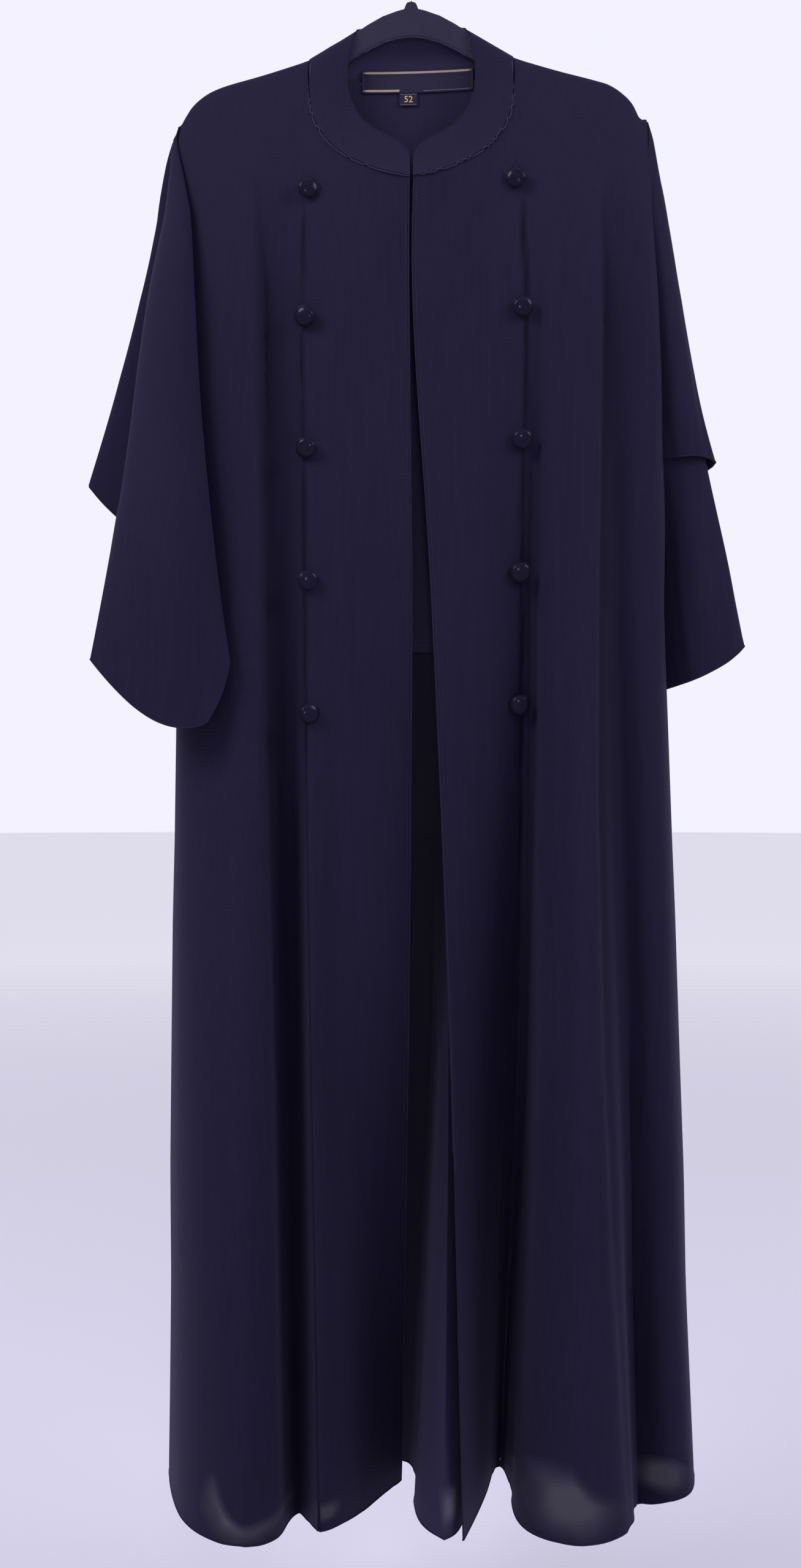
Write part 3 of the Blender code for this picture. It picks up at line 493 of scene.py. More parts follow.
def fold_depth(x, z):
    """How far the fronts' cloth lies back at (x, z), in millimetres, from the table of folds."""
    depth = 0.0
    for path, drop, breadth, side, start, whole in FOLDS:
        strength = smoothstep((start - z) / (start - whole))
        if not strength:
            continue
        strength *= 1 - FOLD_END[2] * smoothstep((FOLD_END[0] - z) / (FOLD_END[0] - FOLD_END[1]))
        away = side * (x - at_height(path, z))
        if away > 0:
            depth += strength * drop * smoothstep(away / FOLD_EDGE) * math.exp(-away / breadth)
        else:
            crest = math.exp(away / CREST_BREADTH)
            depth -= strength * drop * FOLD_CREST * crest * smoothstep(-away / 2)
    return depth


def dimple(x, z, places):
    """How far the cloth is pulled in round the buttons, in millimetres."""
    pull = 0.0
    for spot in places:
        apart = math.hypot(x - spot[0], z - spot[2])
        if apart < 4 * DIMPLE_BREADTH:
            pull += DIMPLE * math.exp(-((apart / DIMPLE_BREADTH) ** 2))
    return pull


def ripple(point):
    """The small waves of hanging cloth: how far a point moves, in metres."""
    x, y, z = point
    face = min(max(y / RIPPLE_FACE, -1.0), 1.0)
    below = min(max((RIPPLE_TOP - z) / RIPPLE_GROWTH, 0.0), 1.0)
    broad = noise.noise(Vector((x * 26.0, face * 3.1, z * 1.5 + 7.0)))
    fine = noise.noise(Vector((x * 75.0 + 11.0, face * 5.3, z * 3.2)))
    side = noise.noise(Vector((x * 14.0 + 31.0, face * 2.7, z * 2.4)))
    return Vector((0.5 * side, 1.5 * broad + 0.5 * fine, 0.0)) * (below * MM)


def shoulder_shift(point):
    """The ease of the shoulders' outline, in metres."""
    x, _, z = (value / MM for value in point)
    out = math.copysign(1.0, x) * at_height(SHOULDER_EASE, z, 1 if x < 0 else 2)
    return Vector((out * smoothstep((abs(x) - SHOULDER_FROM) / SHOULDER_OVER), 0.0, 0.0)) * MM


def side_shift(point):
    """The body's left side stands out a little behind the sleeve, in metres."""
    x, _, z = (value / MM for value in point)
    out = at_height(SIDE_EASE, z) * smoothstep((x - SIDE_FROM) / SIDE_OVER)
    return Vector((out, 0.0, 0.0)) * MM


def hem_shift(point):
    """The fronts' hem hangs a little lower in some places, in metres."""
    x, _, z = (value / MM for value in point)
    strength = smoothstep((HEM_EASE_TOP - z) / (HEM_EASE_TOP - HEM_EASE_WHOLE))
    low = float(np.interp(x, [step[0] for step in HEM_EASE], [step[1] for step in HEM_EASE]))
    return Vector((0.0, 0.0, -low * strength)) * MM


def lobe_shift(point):
    """The fold of the back that comes forward in the opening stands a little wider, in metres."""
    x, y, z = (value / MM for value in point)
    strength = smoothstep((LOBE_DOWN[0] - z) / LOBE_DOWN[1])
    strength *= smoothstep((LOBE_FORWARD[0] - y) / LOBE_FORWARD[1])
    wider = LOBE_WIDER * smoothstep((LOBE_EDGE[0] - x) / LOBE_EDGE[1])
    return Vector((-wider, 0.0, -LOBE_LOWER)) * (strength * MM)


def front_shift(places):
    """The fronts' own folds and the pull of their buttons, in metres."""
    def shift(point):
        x, _, z = (value / MM for value in point)
        return Vector((0.0, fold_depth(x, z) + dimple(x, z, places), 0.0)) * MM
    return shift


def welded_copy(node, name, finish):
    """A CAD wall's copy, its triangles merged, as its own piece."""
    obj = new_object(name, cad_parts[node].data.copy())
    only_select(obj)
    bpy.ops.object.mode_set(mode="EDIT")
    bpy.ops.mesh.select_all(action="SELECT")
    bpy.ops.mesh.remove_doubles(threshold=WELD)
    bpy.ops.object.mode_set(mode="OBJECT")
    obj.data.materials.clear()
    obj.data.materials.append(finish)
    return obj


def close_seam(first, second, reach):
    """Bring two pieces' facing edges together in a shallow groove, where they lie this close."""
    trees = [point_tree([vertex.co for vertex in piece.data.vertices]) for piece in (first, second)]
    moves = []
    for vertex in first.data.vertices:
        _, index, apart = trees[1].find(vertex.co)
        partner = second.data.vertices[index]
        back = trees[0].find(partner.co)[1]
        if apart < reach and back == vertex.index and vertex.normal.dot(partner.normal) > -0.5:
            moves.append((vertex, partner))
    line = []
    for vertex, partner in moves:
        middle = (vertex.co + partner.co) / 2
        line.append(middle.copy())
        outwards = vertex.normal + partner.normal
        if outwards.length > 0.2:
            middle -= outwards.normalized() * SEAM_SINK
        lap = (vertex.co - partner.co).normalized() * SEAM_LAP
        vertex.co = middle - lap
        partner.co = middle + lap
    return line


def shade_folds(piece, line):
    """Mark the shade deep in each recess, and in the panel seam, for the cloth's colour."""
    tree = point_tree(line)
    marks = piece.data.attributes.new("shade", "FLOAT", "POINT")
    for index, vertex in enumerate(piece.data.vertices):
        across = Vector((vertex.co.x, vertex.co.y))
        near = (line[hit[1]] for hit in tree.find_n(vertex.co, 3))
        apart = min((Vector((place.x, place.y)) - across).length for place in near)
        below = smoothstep((SEAM_SHADE_TOP - vertex.co.z) / 0.05)
        in_seam = below * max(1.0 - apart / SEAM_SHADE, 0.0)
        lower = 1 - 0.5 * smoothstep((-0.75 - vertex.co.z) / 0.4)
        in_fold = RECESS_SHADE * lower * fold_depth(vertex.co.x / MM, vertex.co.z / MM)
        marks.data[index].value = max(in_seam, in_fold)


def soften(obj, shifts, crisp_corners, sewn):
    """Smooth a merged wall, its edges and sewn corners kept crisp, then ripple and fold it."""
    def held(vertex):
        place = obj.data.vertices[vertex].co
        return crisp_corners or any((place - spot).length < 0.6 * MM for spot in sewn)

    only_select(obj)
    bpy.ops.object.mode_set(mode="EDIT")
    bpy.ops.mesh.select_all(action="SELECT")
    bpy.ops.mesh.tris_convert_to_quads(face_threshold=QUAD_ANGLE, shape_threshold=QUAD_ANGLE)
    bpy.ops.mesh.select_all(action="DESELECT")
    bpy.ops.mesh.select_mode(type="EDGE")
    bpy.ops.mesh.edges_select_sharp(sharpness=SHARP)
    bpy.ops.transform.edge_crease(value=1.0)
    bpy.ops.object.mode_set(mode="OBJECT")
    turns = {}
    for edge in obj.data.edges:
        if edge.select:
            for vertex, other in (edge.vertices, reversed(edge.vertices)):
                way = (obj.data.vertices[other].co - obj.data.vertices[vertex].co).normalized()
                turns.setdefault(vertex, []).append(way)
    corners = [vertex for vertex, ways in turns.items()
               if held(vertex) and (len(ways) > 2 or ways[0].angle(-ways[-1]) > CORNER_TURN)]
    select_none("VERT")
    for vertex in corners:
        obj.data.vertices[vertex].select = True
    bpy.ops.object.mode_set(mode="EDIT")
    if corners:
        bpy.ops.transform.vert_crease(value=1.0)
    bpy.ops.object.mode_set(mode="OBJECT")
    bpy.ops.mesh.customdata_custom_splitnormals_clear()
    smooth = obj.modifiers.new("smooth", "SUBSURF")
    smooth.levels = SMOOTHING
    smooth.render_levels = SMOOTHING
    bpy.ops.object.modifier_apply(modifier=smooth.name)
    for vertex in obj.data.vertices:
        place = vertex.co.copy()
        for shift in shifts:
            vertex.co += shift(place)
    obj.data.shade_smooth()
    obj.data.set_sharp_from_angle(angle=math.radians(55))


def apply_modifiers(obj):
    only_select(obj)
    for modifier in list(obj.modifiers):
        bpy.ops.object.modifier_apply(modifier=modifier.name)


def finish_piece(obj, name, finish):
    """Name a new piece, give it its finish and slot, and let it ride with the cloak."""
    obj.name = name
    obj.data.name = name
    obj.data.materials.clear()
    obj.data.materials.append(finish)
    obj.data.shade_smooth()
    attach(obj, "root")
    return obj


def round_edges(obj, width, angle):
    bevel = obj.modifiers.new("rounded edge", "BEVEL")
    bevel.width = width
    bevel.segments = 2
    bevel.limit_method = "ANGLE"
    bevel.angle_limit = angle
    apply_modifiers(obj)


def roll_edges(piece, name, finish, radius, keep):
    """A rolled edge along the crisp edges of a piece that keep(middle, rim normal) accepts."""
    shape = bmesh.new()
    shape.from_mesh(piece.data)
    chosen = set()
    for edge in shape.edges:
        if len(edge.link_faces) == 2 and edge.calc_face_angle() > RIM_ANGLE:
            rim = min(edge.link_faces, key=lambda face: face.calc_area())
            if keep((edge.verts[0].co + edge.verts[1].co) / 2, rim.normal):
                chosen.add(edge.index)
    shape.free()
    only_select(piece)
    select_none("EDGE")
    for index in chosen:
        piece.data.edges[index].select = True
    bpy.ops.object.mode_set(mode="EDIT")
    bpy.ops.mesh.duplicate()
    bpy.ops.mesh.separate(type="SELECTED")
    bpy.ops.object.mode_set(mode="OBJECT")
    roll = next(obj for obj in bpy.context.selected_objects if obj is not piece)
    only_select(roll)
    bpy.ops.object.convert(target="CURVE")
    roll.data.bevel_depth = radius
    roll.data.bevel_resolution = 1
    roll.data.use_fill_caps = True
    bpy.ops.object.convert(target="MESH")
    return finish_piece(bpy.context.object, name, finish)


def wire(name, points, radius, finish, sides=1):
    """A round wire or thread through the points."""
    curve = bpy.data.curves.new(name, "CURVE")
    curve.dimensions = "3D"
    curve.bevel_depth = radius
    curve.bevel_resolution = sides
    curve.use_fill_caps = True
    spline = curve.splines.new("POLY")
    spline.points.add(len(points) - 1)
    for point, place in zip(spline.points, points):
        point.co = (*place, 1)
    only_select(new_object(name, curve))
    bpy.ops.object.convert(target="MESH")
    return finish_piece(bpy.context.object, name, finish)


def surface(piece):
    return bvhtree.BVHTree.FromPolygons([v.co.copy() for v in piece.data.vertices],
                                        [tuple(p.vertices) for p in piece.data.polygons])


def on_face(tree, x, z):
    """The cloth's point and normal at (x, z), in metres, met from the front."""
    place, normal, _, _ = tree.ray_cast(Vector((x, FAR_FRONT, z)), Vector((0, 1, 0)))
    return (place, normal) if place is not None else None


def points_on(tree, spots, lift):
    """The cloth's points at the spots (x, z), lifted off it."""
    hits = [on_face(tree, x, z) for x, z in spots]
    return [place + normal * lift for place, normal in (hit for hit in hits if hit)]


def even_steps(points, pitch):
    """Points at an even pitch along a path."""
    points = np.array([tuple(p) for p in points])
    runs = np.linalg.norm(np.diff(points, axis=0), axis=1)
    along = np.concatenate([[0.0], np.cumsum(runs)])
    count = max(int(along[-1] / pitch), 1)
    return [Vector([float(np.interp(k * along[-1] / count, along, points[:, axis]))
                    for axis in range(3)]) for k in range(count + 1)]


def stitch_shape(length, radius):
    """One stitch: a short six-sided thread with tapered ends, modelled along X."""
    bpy.ops.object.select_all(action="DESELECT")
    bpy.ops.mesh.primitive_cylinder_add(vertices=6, radius=radius, depth=length * STITCH_BODY)
    stitch = bpy.context.object
    for end in (-1, 1):
        select_none("FACE")
        for face in stitch.data.polygons:
            face.select = face.normal.z * end > 0.9
        bpy.ops.object.mode_set(mode="EDIT")
        bpy.ops.mesh.inset(thickness=radius * (1 - STITCH_TAPER) * math.cos(math.pi / 6),
                           depth=length * (1 - STITCH_BODY) / 2, use_even_offset=True)
    bpy.ops.object.mode_set(mode="OBJECT")
    stitch.data.transform(Matrix.Rotation(math.pi / 2, 4, "Y"))
    return stitch


def stitches(name, path, tree, finish):
    """A row of stitches along a path: one modelled stitch, copied to each place on the cloth."""
    length, pitch, radius = STITCH
    model = stitch_shape(length, radius)
    row = []
    steps = even_steps(path, pitch)
    for before, after in zip(steps, steps[1:]):
        middle = (before + after) / 2
        place, normal = tree.find_nearest(middle)[:2]
        if (middle - place).dot(normal) < 0 and (middle - place).length > 1.5 * MM:
            continue
        along = (after - before).normalized()
        across = normal.cross(along).normalized()
        turn = Matrix((along, across, along.cross(across))).transposed().to_4x4()
        stitch = new_object(name, model.data.copy())
        stitch.data.transform(Matrix.Translation(place + normal * radius * 0.55) @ turn)
        row.append(stitch)
    bpy.data.objects.remove(model)
    bpy.ops.object.select_all(action="DESELECT")
    for stitch in row:
        stitch.select_set(True)
    bpy.context.view_layer.objects.active = row[0]
    bpy.ops.object.join()
    return finish_piece(row[0], name, finish)


def ribbon(name, middles, up, width, wall, finish):
    """A narrow tape along the middles: up points across its width."""
    bpy.ops.object.select_all(action="DESELECT")
    bpy.ops.mesh.primitive_grid_add(x_subdivisions=len(middles) - 1, y_subdivisions=2, size=1)
    tape = bpy.context.object
    for vertex in tape.data.vertices:
        column = round((vertex.co.x + 0.5) * (len(middles) - 1))
        vertex.co = Vector(middles[column]) + Vector(up) * (vertex.co.y * width)
    solidify = tape.modifiers.new("wall", "SOLIDIFY")
    solidify.thickness = wall
    solidify.offset = 0.0
    apply_modifiers(tape)
    only_select(tape)
    bpy.ops.object.transform_apply(location=True, rotation=True, scale=True)
    return finish_piece(tape, name, finish)


# ---------------------------------------------------------------- pieces

# node, flat width and length, flat area, what it hangs from
CLOTH = (
    ("back", 0.78, 1.31, 0.70, "hanger"),
    ("inner_back", 0.40, 0.54, 0.20, "back"),
    ("front_centre_right", 0.14, 1.25, 0.126, "front_side_right"),
    ("front_side_right", 0.30, 1.31, 0.263, "hanger"),
    ("front_centre_left", 0.145, 1.25, 0.126, "front_side_left"),
    ("front_side_left", 0.34, 1.31, 0.300, "hanger"),
    ("collar", 0.62, 0.07, 0.0215, "back"),
    ("over_sleeve_right", 0.18, 0.39, 0.033, "front_side_right"),
    ("over_sleeve_left", 0.13, 0.34, 0.0218, "front_side_left"),
    ("long_sleeve_right", 0.26, 0.57, 0.088, "front_side_right"),
    ("long_sleeve_left", 0.17, 0.49, 0.042, "front_side_left"),
)
SHEER_NODES = ("front_centre_right", "front_side_right", "front_centre_left", "front_side_left")

# Pairs whose facing edges are sewn together, how far apart they may start, and if their seam shows
SEWN = (
    ("front_centre_right", "front_side_right", PANEL_SEAM_REACH, True),
    ("front_centre_left", "front_side_left", PANEL_SEAM_REACH, True),
    ("front_side_right", "back", SIDE_SEAM_REACH, False),
    ("front_side_left", "back", SIDE_SEAM_REACH, False),
)
SLEEVES = ("over_sleeve_right", "over_sleeve_left", "long_sleeve_right", "long_sleeve_left")


def title(node):
    return node.title().replace("_", "")


def button_places():
    """Each button's middle and outward direction, from its CAD node."""
    places = {}
    for side in ("right", "left"):
        for k in range(1, 6):
            node = f"button_{side}_{k}"
            spots = np.array([tuple(v.co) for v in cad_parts[node].data.vertices])
            low, high = (np.array(tuple(corner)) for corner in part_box(node))
            middle = (low + high) / 2
            axis = np.linalg.svd(np.unique(spots.round(6), axis=0) - middle)[2][2]
            places[node] = (Vector(middle), Vector(axis if axis[1] < 0 else -axis))
    return places


def make_cloth(finishes, buttons):
    spots = [tuple(value / MM for value in middle) for middle, _ in buttons.values()]
    made = {}
    for node, *_ in CLOTH:
        made[node] = welded_copy(node, title(node) + "Cloth", finishes[node])
    seams = {}
    sewn = {node: [] for node, *_ in CLOTH}
    for first, second, reach, shows in SEWN:
        line = close_seam(made[first], made[second], reach)
        if shows:
            seams[first] = seams[second] = line
            sewn[first] += line
            sewn[second] += line
    for node, width, length, area, carrier in CLOTH:
        piece = made[node]
        shifts = [ripple, shoulder_shift]
        if node.startswith("front"):
            shifts += [front_shift(spots), hem_shift]
        if node in ("front_side_left", "back"):
            shifts.append(side_shift)
        if node == "back":
            shifts.append(lobe_shift)
        soften(piece, shifts, node in SLEEVES, sewn[node])
        if node in seams:
            shade_folds(piece, seams[node])
        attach(piece, "root")
        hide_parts(node)
    return made


def make_rolls(cloth, finish):
    """Rolled hems, cuffs and front edges, and the collar's free edge."""
    def at_hem(middle, rim):
        return rim.z < -0.6

    for node in ("back", "inner_back", "front_side_right", "front_side_left",
                 *SLEEVES):
        roll_edges(cloth[node], title(node) + "Hem", finish, HEM_ROLL, at_hem)
    for side, way in (("right", 1), ("left", -1)):
        roll_edges(cloth[f"front_centre_{side}"], f"FrontEdge{side.title()}", finish, HEM_ROLL,
                   lambda middle, rim: rim.z < -0.6 or rim.x * way > 0.5)
    roll_edges(cloth["collar"], "CollarEdge", finish, COLLAR_ROLL,
               lambda middle, rim: middle.z > -0.2 and rim.z > 0.2 or abs(middle.x) < 0.012)


def neck_seam():
    """The whole neck seam, from the right front round the back to the left front, in metres."""
    rise = math.tan(HANGER_TILT)
    left = [Vector((x, y, z + x * rise)) * MM for x, y, z in NECK_SEAM]
    right = [Vector((-x, y, z - x * rise)) * MM for x, y, z in NECK_SEAM]
    return right + left[-2::-1]


def smooth_path(points):
    """A smooth curve through the points."""
    curve = bpy.data.curves.new("path", "CURVE")
    curve.dimensions = "3D"
    curve.resolution_u = 8
    spline = curve.splines.new("BEZIER")
    spline.bezier_points.add(len(points) - 1)
    for knot, place in zip(spline.bezier_points, points):
        knot.co = place
        knot.handle_left_type = knot.handle_right_type = "AUTO"
    obj = new_object("path", curve)
    mesh = obj.to_mesh()
    places = [v.co.copy() for v in mesh.vertices]
    obj.to_mesh_clear()
    bpy.data.objects.remove(obj)
    return even_steps(places, PATH_STEP)


def make_neck(cloth, finish, piping, thread):
    """Piping and topstitching on the neck seam, and the tape inside it."""
    seam = smooth_path(neck_seam())
    middle = Vector((0, 0, NECK_MIDDLE_Z))
    tree = surface(cloth["collar"])
    outside = []
    above = []
    for place in seam:
        inwards = (middle - place).normalized()
        normal = tree.find_nearest(place)[1]
        lift = normal * (1 if normal.y * (place.y or -1) > 0 else -1)
        outside.append(place + lift * PIPING_LIFT * MM)
        above.append(place + Vector((inwards.x, 0, inwards.z)) * 2.4 * MM + lift * 2 * MM)
    wire("CollarPiping", outside, PIPING_RADIUS, piping)
    stitches("CollarStitches", above, tree, thread)

    back = [place for place in seam if place.y > 3 * MM and abs(place.x) < 90 * MM]
    tape = [place + Vector((0, -2.6 * MM, -1.0 * MM)) for place in back]
    ribbon("NeckTape", tape, (0, 0, 1), 6.4 * MM, 0.5 * MM, finish)


def make_buttons(places, finish, thread):
    """A domed button with a rim, a thin back plate and a shank, hung a little off true."""
    bpy.ops.object.select_all(action="DESELECT")
    bpy.ops.mesh.primitive_cylinder_add(vertices=48, radius=BUTTON_RADIUS, depth=BUTTON_THICK)
    model = bpy.context.object

    def pick(way):
        select_none("FACE")
        ends = [face for face in model.data.polygons
                if face.normal.z * way > 0.9 and len(face.vertices) > 4]
        top = max(ends, key=lambda face: face.center.z * way)
        top.select = True
        bpy.ops.object.mode_set(mode="EDIT")

    pick(1)
    bpy.ops.mesh.inset(thickness=0.45 * MM, depth=0.20 * MM)
    bpy.ops.mesh.inset(thickness=0.30 * MM, depth=-0.12 * MM)
    reach = BUTTON_RADIUS - 0.75 * MM
    for k in range(DOME_RINGS):
        low, high = k / DOME_RINGS * math.pi / 2, (k + DOME_STEP) / DOME_RINGS * math.pi / 2
        bpy.ops.mesh.inset(thickness=max((math.cos(low) - math.cos(high)) * reach, 0.02 * MM),
                           depth=(math.sin(high) - math.sin(low)) * DOME_RISE)
    pick(-1)
    bpy.ops.mesh.inset(thickness=0.8 * MM, depth=0.3 * MM)
    bpy.ops.mesh.inset(thickness=5.6 * MM, depth=0.0)
    bpy.ops.mesh.extrude_region_move(TRANSFORM_OT_translate={"value": (0, 0, -1.9 * MM)})
    bpy.ops.transform.resize(value=(0.8, 0.8, 1.0), center_override=(0, 0, 0))
    bpy.ops.object.mode_set(mode="OBJECT")
    round_edges(model, 0.28 * MM, math.radians(40))
    for side in ("right", "left"):
        for k, (down, sideways) in enumerate(BUTTON_HANG[side], 1):
            node = f"button_{side}_{k}"
            middle, outwards = places[node]
            facing = outwards.to_track_quat("Z", "Y").to_matrix().to_4x4()
            hang = (Matrix.Rotation(math.radians(down), 4, "X")
                    @ Matrix.Rotation(math.radians(sideways), 4, "Z"))
            button = new_object("button", model.data.copy())
            button.data.transform(Matrix.Translation(middle) @ hang @ facing)
            finish_piece(button, f"Button{side.title()}{k}", finish)
            button.data.set_sharp_from_angle(angle=math.radians(50))
            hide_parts(node)
            shank = [middle - outwards * 0.6 * MM, middle - outwards * 4.2 * MM]
            wire(f"ButtonShank{side.title()}{k}", shank, 1.0 * MM, thread)
    bpy.data.objects.remove(model)


def make_labels(woven, gold, number_gold, thread):
    """The neck label with its two gold lines and end stitches, and the size tag with its number."""
    for node, name in (("neck_label", "NeckLabel"), ("size_tag", "SizeTag")):
        piece = welded_copy(node, name, woven)
        round_edges(piece, 0.12 * MM, math.radians(30))
        finish_piece(piece, name, woven)
        piece.data.set_sharp_from_angle(angle=math.radians(50))
        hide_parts(node)
        low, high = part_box(node)
        tree = surface(piece)
        tilt = math.tan(LABEL_TILT)
        centre_x = (low[0] + high[0]) / 2
        half = (high[0] - low[0]) / 2
        middle_z = (low[2] + high[2]) / 2
        tall = (high[2] - low[2]) / 2 - abs(half * tilt)

        def across(share, inset, lift):
            xs = np.linspace(centre_x - half + inset, centre_x + half - inset, 28)
            spots = [(x, middle_z + (x - centre_x) * tilt + share * tall) for x in xs]
            return points_on(tree, spots, lift)

        if node == "neck_label":
            for share, place_name, part, width in LABEL_LINES:
                line = across(share, 1.2 * MM, 0.12 * MM)
                line = line[round(part[0] * len(line)):round(part[1] * len(line))]
                ribbon(f"NeckLabelLine{place_name}", line, (0, 0, 1), width, 0.16 * MM,
                       thread if place_name == "Worn" else gold)
            for end in (-1, 1):
                x = centre_x + end * (half - 0.9 * MM)
                spots = [(x, middle_z + (x - centre_x) * tilt + share * tall)
                         for share in np.linspace(-0.9, 0.9, 8)]
                path = points_on(tree, spots, 0.2 * MM)
                hand = "Left" if end > 0 else "Right"
                stitches(f"NeckLabelStitches{hand}", path, tree, thread)
        else:
            place, normal = on_face(tree, centre_x, middle_z)
            bpy.ops.object.select_all(action="DESELECT")
            bpy.ops.object.text_add()
            number = bpy.context.object
            number.data.body = "52"
            number.data.align_x = "CENTER"
            number.data.align_y = "CENTER"
            number.data.size = NUMBER_SIZE
            number.data.extrude = 0.06 * MM
            bpy.ops.object.convert(target="MESH")
            number = bpy.context.object
            number.data.transform(Matrix.Translation(place + normal * 0.12 * MM)
                                  @ Matrix.Rotation(math.pi / 2, 4, "X"))
            finish_piece(number, "SizeNumber", number_gold)
            for share in (-0.86, 0.86):
                line = across(share, 0.8 * MM, 0.08 * MM)
                ribbon(f"SizeTagEdge{'Top' if share > 0 else 'Bottom'}", line, (0, 0, 1),
                       0.7 * MM, 0.12 * MM, thread)


def make_hook(finish):
    """The wire hook: straight out of the hanger, round over the rail, to its tip."""
    centre = Vector((0, 0, -HOOK_RADIUS))
    ring = HOOK_RADIUS + HOOK_WIRE
    path = [Vector((0, 0, HOOK_FOOT_Z)), Vector((0, 0, HOOK_FOOT_Z + HOOK_STRAIGHT))]
    for degrees in np.linspace(*HOOK_SWEEP, HOOK_STEPS):
        angle = math.radians(degrees)
        path.append(centre + Vector((-math.sin(angle), 0, math.cos(angle))) * ring)
    hook = wire("HangerHook", path, HOOK_WIRE, finish, sides=6)
    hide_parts("hanger_hook")


def make_seam_tapes(cloth, finish):
    """A narrow tape behind each panel seam, as its allowance lies."""
    for side, way in (("right", -1), ("left", 1)):
        tree = surface(cloth[f"front_centre_{side}"])
        path = []
        for z in np.linspace(*TAPE_ROW):
            xs = (way * x for x in np.arange(*TAPE_SEARCH))
            hit = next(filter(None, (on_face(tree, float(x), float(z)) for x in xs)), None)
            if hit:
                path.append(hit[0] + Vector((0.0, SEAM_TAPE_DEPTH, 0.0)))
        ribbon(f"SeamTape{side.title()}", path, (1, 0, 0), SEAM_TAPE, 0.3 * MM, finish)


def make_hanger_lip(finish):
    """The paler lip along the hanger's lower front edge: a painted highlight where that edge
    catches light.
    """
    tree = surface(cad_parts["hanger"])
    line = []
    for x in np.linspace(*LIP_ROW):
        hits = [on_face(tree, float(x), float(z)) for z in np.arange(*LIP_SEARCH)]
        hits = [hit for hit in hits if hit]
        if hits:
            line.append(hits[-1][0] + Vector((0.0, -0.1, -0.1)) * MM)
    wire("HangerLip", smooth_path(line), 0.55 * MM, finish)


def make_stitching(cloth, thread, pale):
    """Topstitching along the front edges, and in two rows at the hem of the layer inside."""
    for side, way in (("right", -1), ("left", 1)):
        tree = surface(cloth[f"front_centre_{side}"])
        edge = []
        for z in np.linspace(*FRONT_ROW):
            xs = np.arange(*FRONT_SEARCH)
            xs = xs[::-1] if side == "right" else xs
            first = next((x for x in xs if on_face(tree, float(x), z)), None)
            if first is None:
                continue
            hit = on_face(tree, float(first) + way * FRONT_STITCH_INSET, z)
            if hit:
                edge.append(hit[0] + hit[1] * 0.3 * MM)
        stitches(f"FrontStitches{side.title()}", edge, tree, thread)
    inner = surface(cloth["inner_back"])
    for k, z in enumerate(INNER_HEM_ROWS, 1):
        path = points_on(inner, [(x, z) for x in np.linspace(*INNER_HEM_POINTS)], 0.2 * MM)
        stitches(f"InnerHemStitches{k}", path, inner, pale)


def set_material(node, finish):
    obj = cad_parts[node]
    obj.data.materials.clear()
    obj.data.materials.append(finish)


# ---------------------------------------------------------------- room


def add_camera():
    data = bpy.data.cameras.new("camera")
    data.sensor_width = SENSOR
    focal_pixels = -CAMERA_PLACE[1] / PIXEL_AT_HOOK
    data.lens = focal_pixels / CAMERA_HEIGHT * SENSOR
    camera = new_object("camera", data)
    camera.location = CAMERA_PLACE
    camera.rotation_euler = (math.pi / 2, 0, 0)
    bpy.context.scene.camera = camera


def add_area_light(name, place, target, size, power):
    data = bpy.data.lights.new(name, "AREA")
    data.shape = "DISK"
    data.size = size
    data.energy = power
    data.color = LAMP_COLOUR
    light = new_object(name, data)
    light.location = place
    towards = Vector(target) - Vector(place)
    light.rotation_euler = towards.to_track_quat("-Z", "Y").to_euler()


def add_room():
    """A pale wall to the camera, and soft light that falls from above."""
    world = bpy.data.worlds.new("pale room")
    world.use_nodes = True
    tree = world.node_tree
    tree.nodes.clear()
    out = tree.nodes.new("ShaderNodeOutputWorld")
    wall = tree.nodes.new("ShaderNodeBackground")
    wall.inputs["Color"].default_value = (*WALL_COLOUR, 1.0)
    soft = tree.nodes.new("ShaderNodeBackground")
    coordinates = tree.nodes.new("ShaderNodeTexCoord")
    split = tree.nodes.new("ShaderNodeSeparateXYZ")
    tree.links.new(coordinates.outputs["Generated"], split.inputs["Vector"])
    tree.links.new(remap(tree, split.outputs["Z"], -0.6, 0.9, *SOFT_LIGHT), soft.inputs["Strength"])
    soft.inputs["Color"].default_value = (*SOFT_COLOUR, 1.0)
    seen = tree.nodes.new("ShaderNodeLightPath")
    mix = tree.nodes.new("ShaderNodeMixShader")
    tree.links.new(seen.outputs["Is Camera Ray"], mix.inputs["Fac"])
    tree.links.new(soft.outputs["Background"], mix.inputs[1])
    tree.links.new(wall.outputs["Background"], mix.inputs[2])
    tree.links.new(mix.outputs["Shader"], out.inputs["Surface"])
    bpy.context.scene.world = world
    bpy.context.scene.view_settings.view_transform = "Standard"
    bpy.ops.object.select_all(action="DESELECT")
    bpy.ops.mesh.primitive_circle_add(vertices=96, radius=FLOOR_RADIUS, fill_type="NGON",
                                      location=(0, 0, 0))
    floor = bpy.context.object
    floor.name = "Floor"
    floor.location = (0, 0, FLOOR_Z)
    floor.data.materials.append(floor_material())
    for light in LIGHTS:
        add_area_light(*light)


# ---------------------------------------------------------------- build

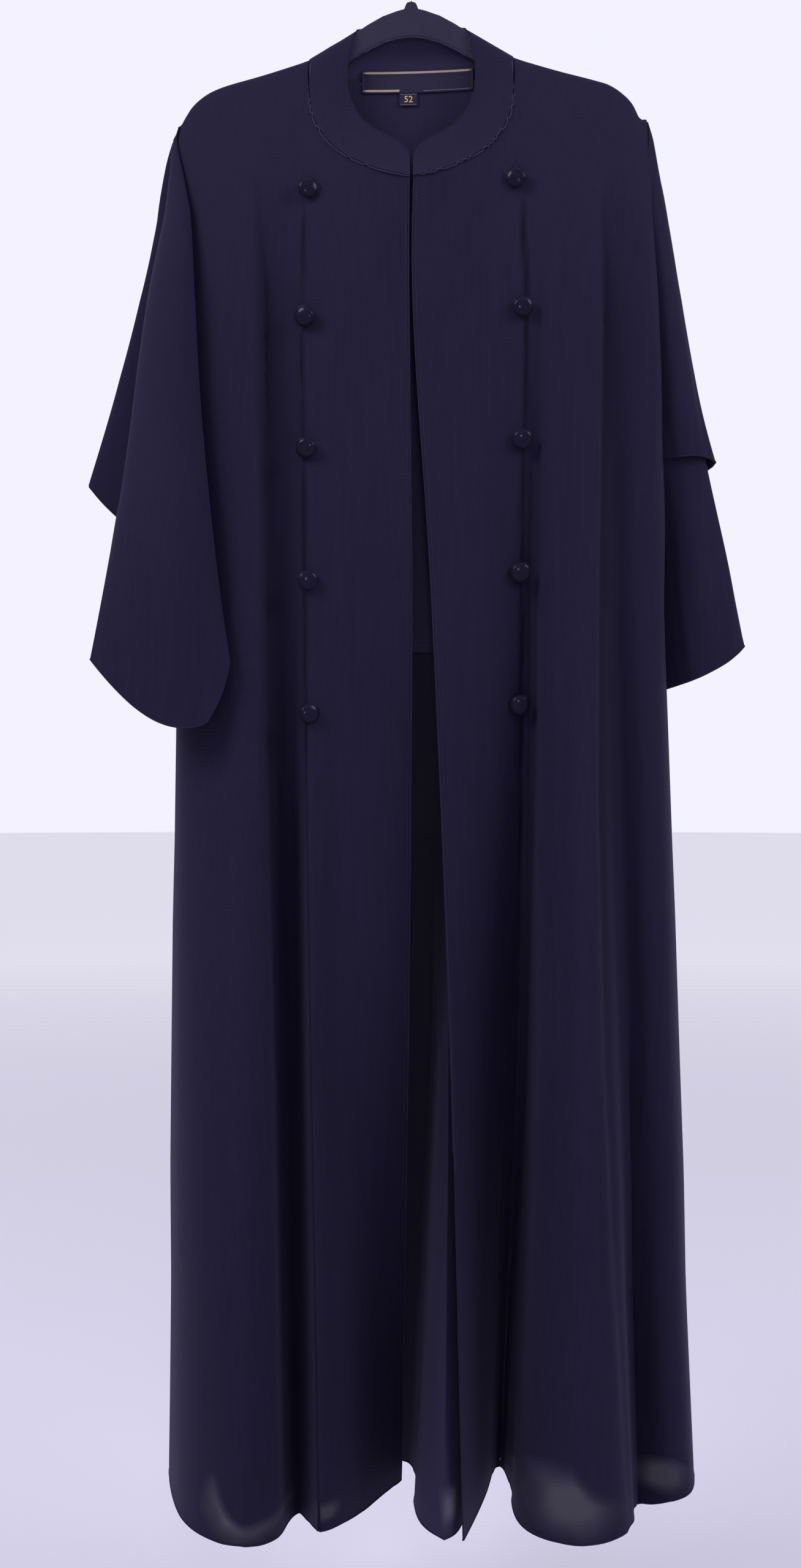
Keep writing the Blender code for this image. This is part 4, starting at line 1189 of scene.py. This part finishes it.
add_camera()
add_room()
weave = weave_group()
BLACK = (0.0066, 0.0054, 0.0150), (0.0112, 0.0094, 0.0240)
crepe = crepe_material("black crepe", weave, *BLACK)
front_crepe = crepe_material("black crepe, sheer at the hem", weave, *BLACK, FRONT_PATCHES)
# painted light: the back turns lighter where its fold comes forward into the opening
back_crepe = crepe_material("black crepe of the back", weave, *BLACK, BACK_PATCHES, BACK_ALPHA,
                            inside=("Y", -0.03, -0.12, (0.017, 0.0142, 0.036)))
# painted light: the collar turns lighter on its inside at the back of the neck, under the hanger
band_crepe = crepe_material("black crepe of the collar", weave, *BLACK,
                            inside=("Y", 0.001, 0.009, (0.0215, 0.0185, 0.0440)))
# painted light: the layer inside is lighter than the crepe, and lighter still lower down, where
# light reaches it through the opening
inner_crepe = crepe_material("black crepe inside", weave,
                             (0.0098, 0.0083, 0.0205), (0.0140, 0.0120, 0.0290),
                             inside=("Z", -0.20, -0.34, (0.034, 0.029, 0.066)))
# painted highlight: a little lighter than the crepe, for folded edges catching light; the neck tape
# shares it
highlit_edge_crepe = crepe_material("black crepe, folded edge", weave,
                            (0.0095, 0.0078, 0.0200), (0.0150, 0.0125, 0.0310))
# painted highlight: the piping is crepe painted lighter, for the light line along the neck seam
highlit_piping_crepe = crepe_material("black crepe of the piping", weave,
                              (0.0175, 0.0148, 0.034), (0.027, 0.023, 0.048))
finishes = {node: crepe for node, *_ in CLOTH}
finishes["back"] = back_crepe
finishes["inner_back"] = inner_crepe
finishes["collar"] = band_crepe
for node in SHEER_NODES:
    finishes[node] = front_crepe
thread = thread_material("black thread", (0.0135, 0.0115, 0.0260))
gold = gold_material("gold thread", (0.200, 0.155, 0.125), (0.330, 0.265, 0.215))
number_gold = gold_material("gold thread of the number", (0.33, 0.245, 0.075), (0.52, 0.39, 0.125))
pale_thread = thread_material("pale thread", (0.075, 0.066, 0.105))
woven = label_material()

places = button_places()
cloth = make_cloth(finishes, places)
make_rolls(cloth, highlit_edge_crepe)
make_neck(cloth, highlit_edge_crepe, highlit_piping_crepe, thread)
make_buttons(places, button_material(), thread)
make_labels(woven, gold, number_gold, pale_thread)
make_hook(wire_material())
make_seam_tapes(cloth, crepe)
make_stitching(cloth, thread, pale_thread)
set_material("hanger", flock_material("black flocking", (0.015, 0.0135, 0.0265),
                                      (0.022, 0.020, 0.037)))
# painted highlight: a paler wire of flocking along the hanger's lower front edge
make_hanger_lip(flock_material("flocking with painted highlight", (0.026, 0.0235, 0.042), (0.038, 0.034, 0.058)))
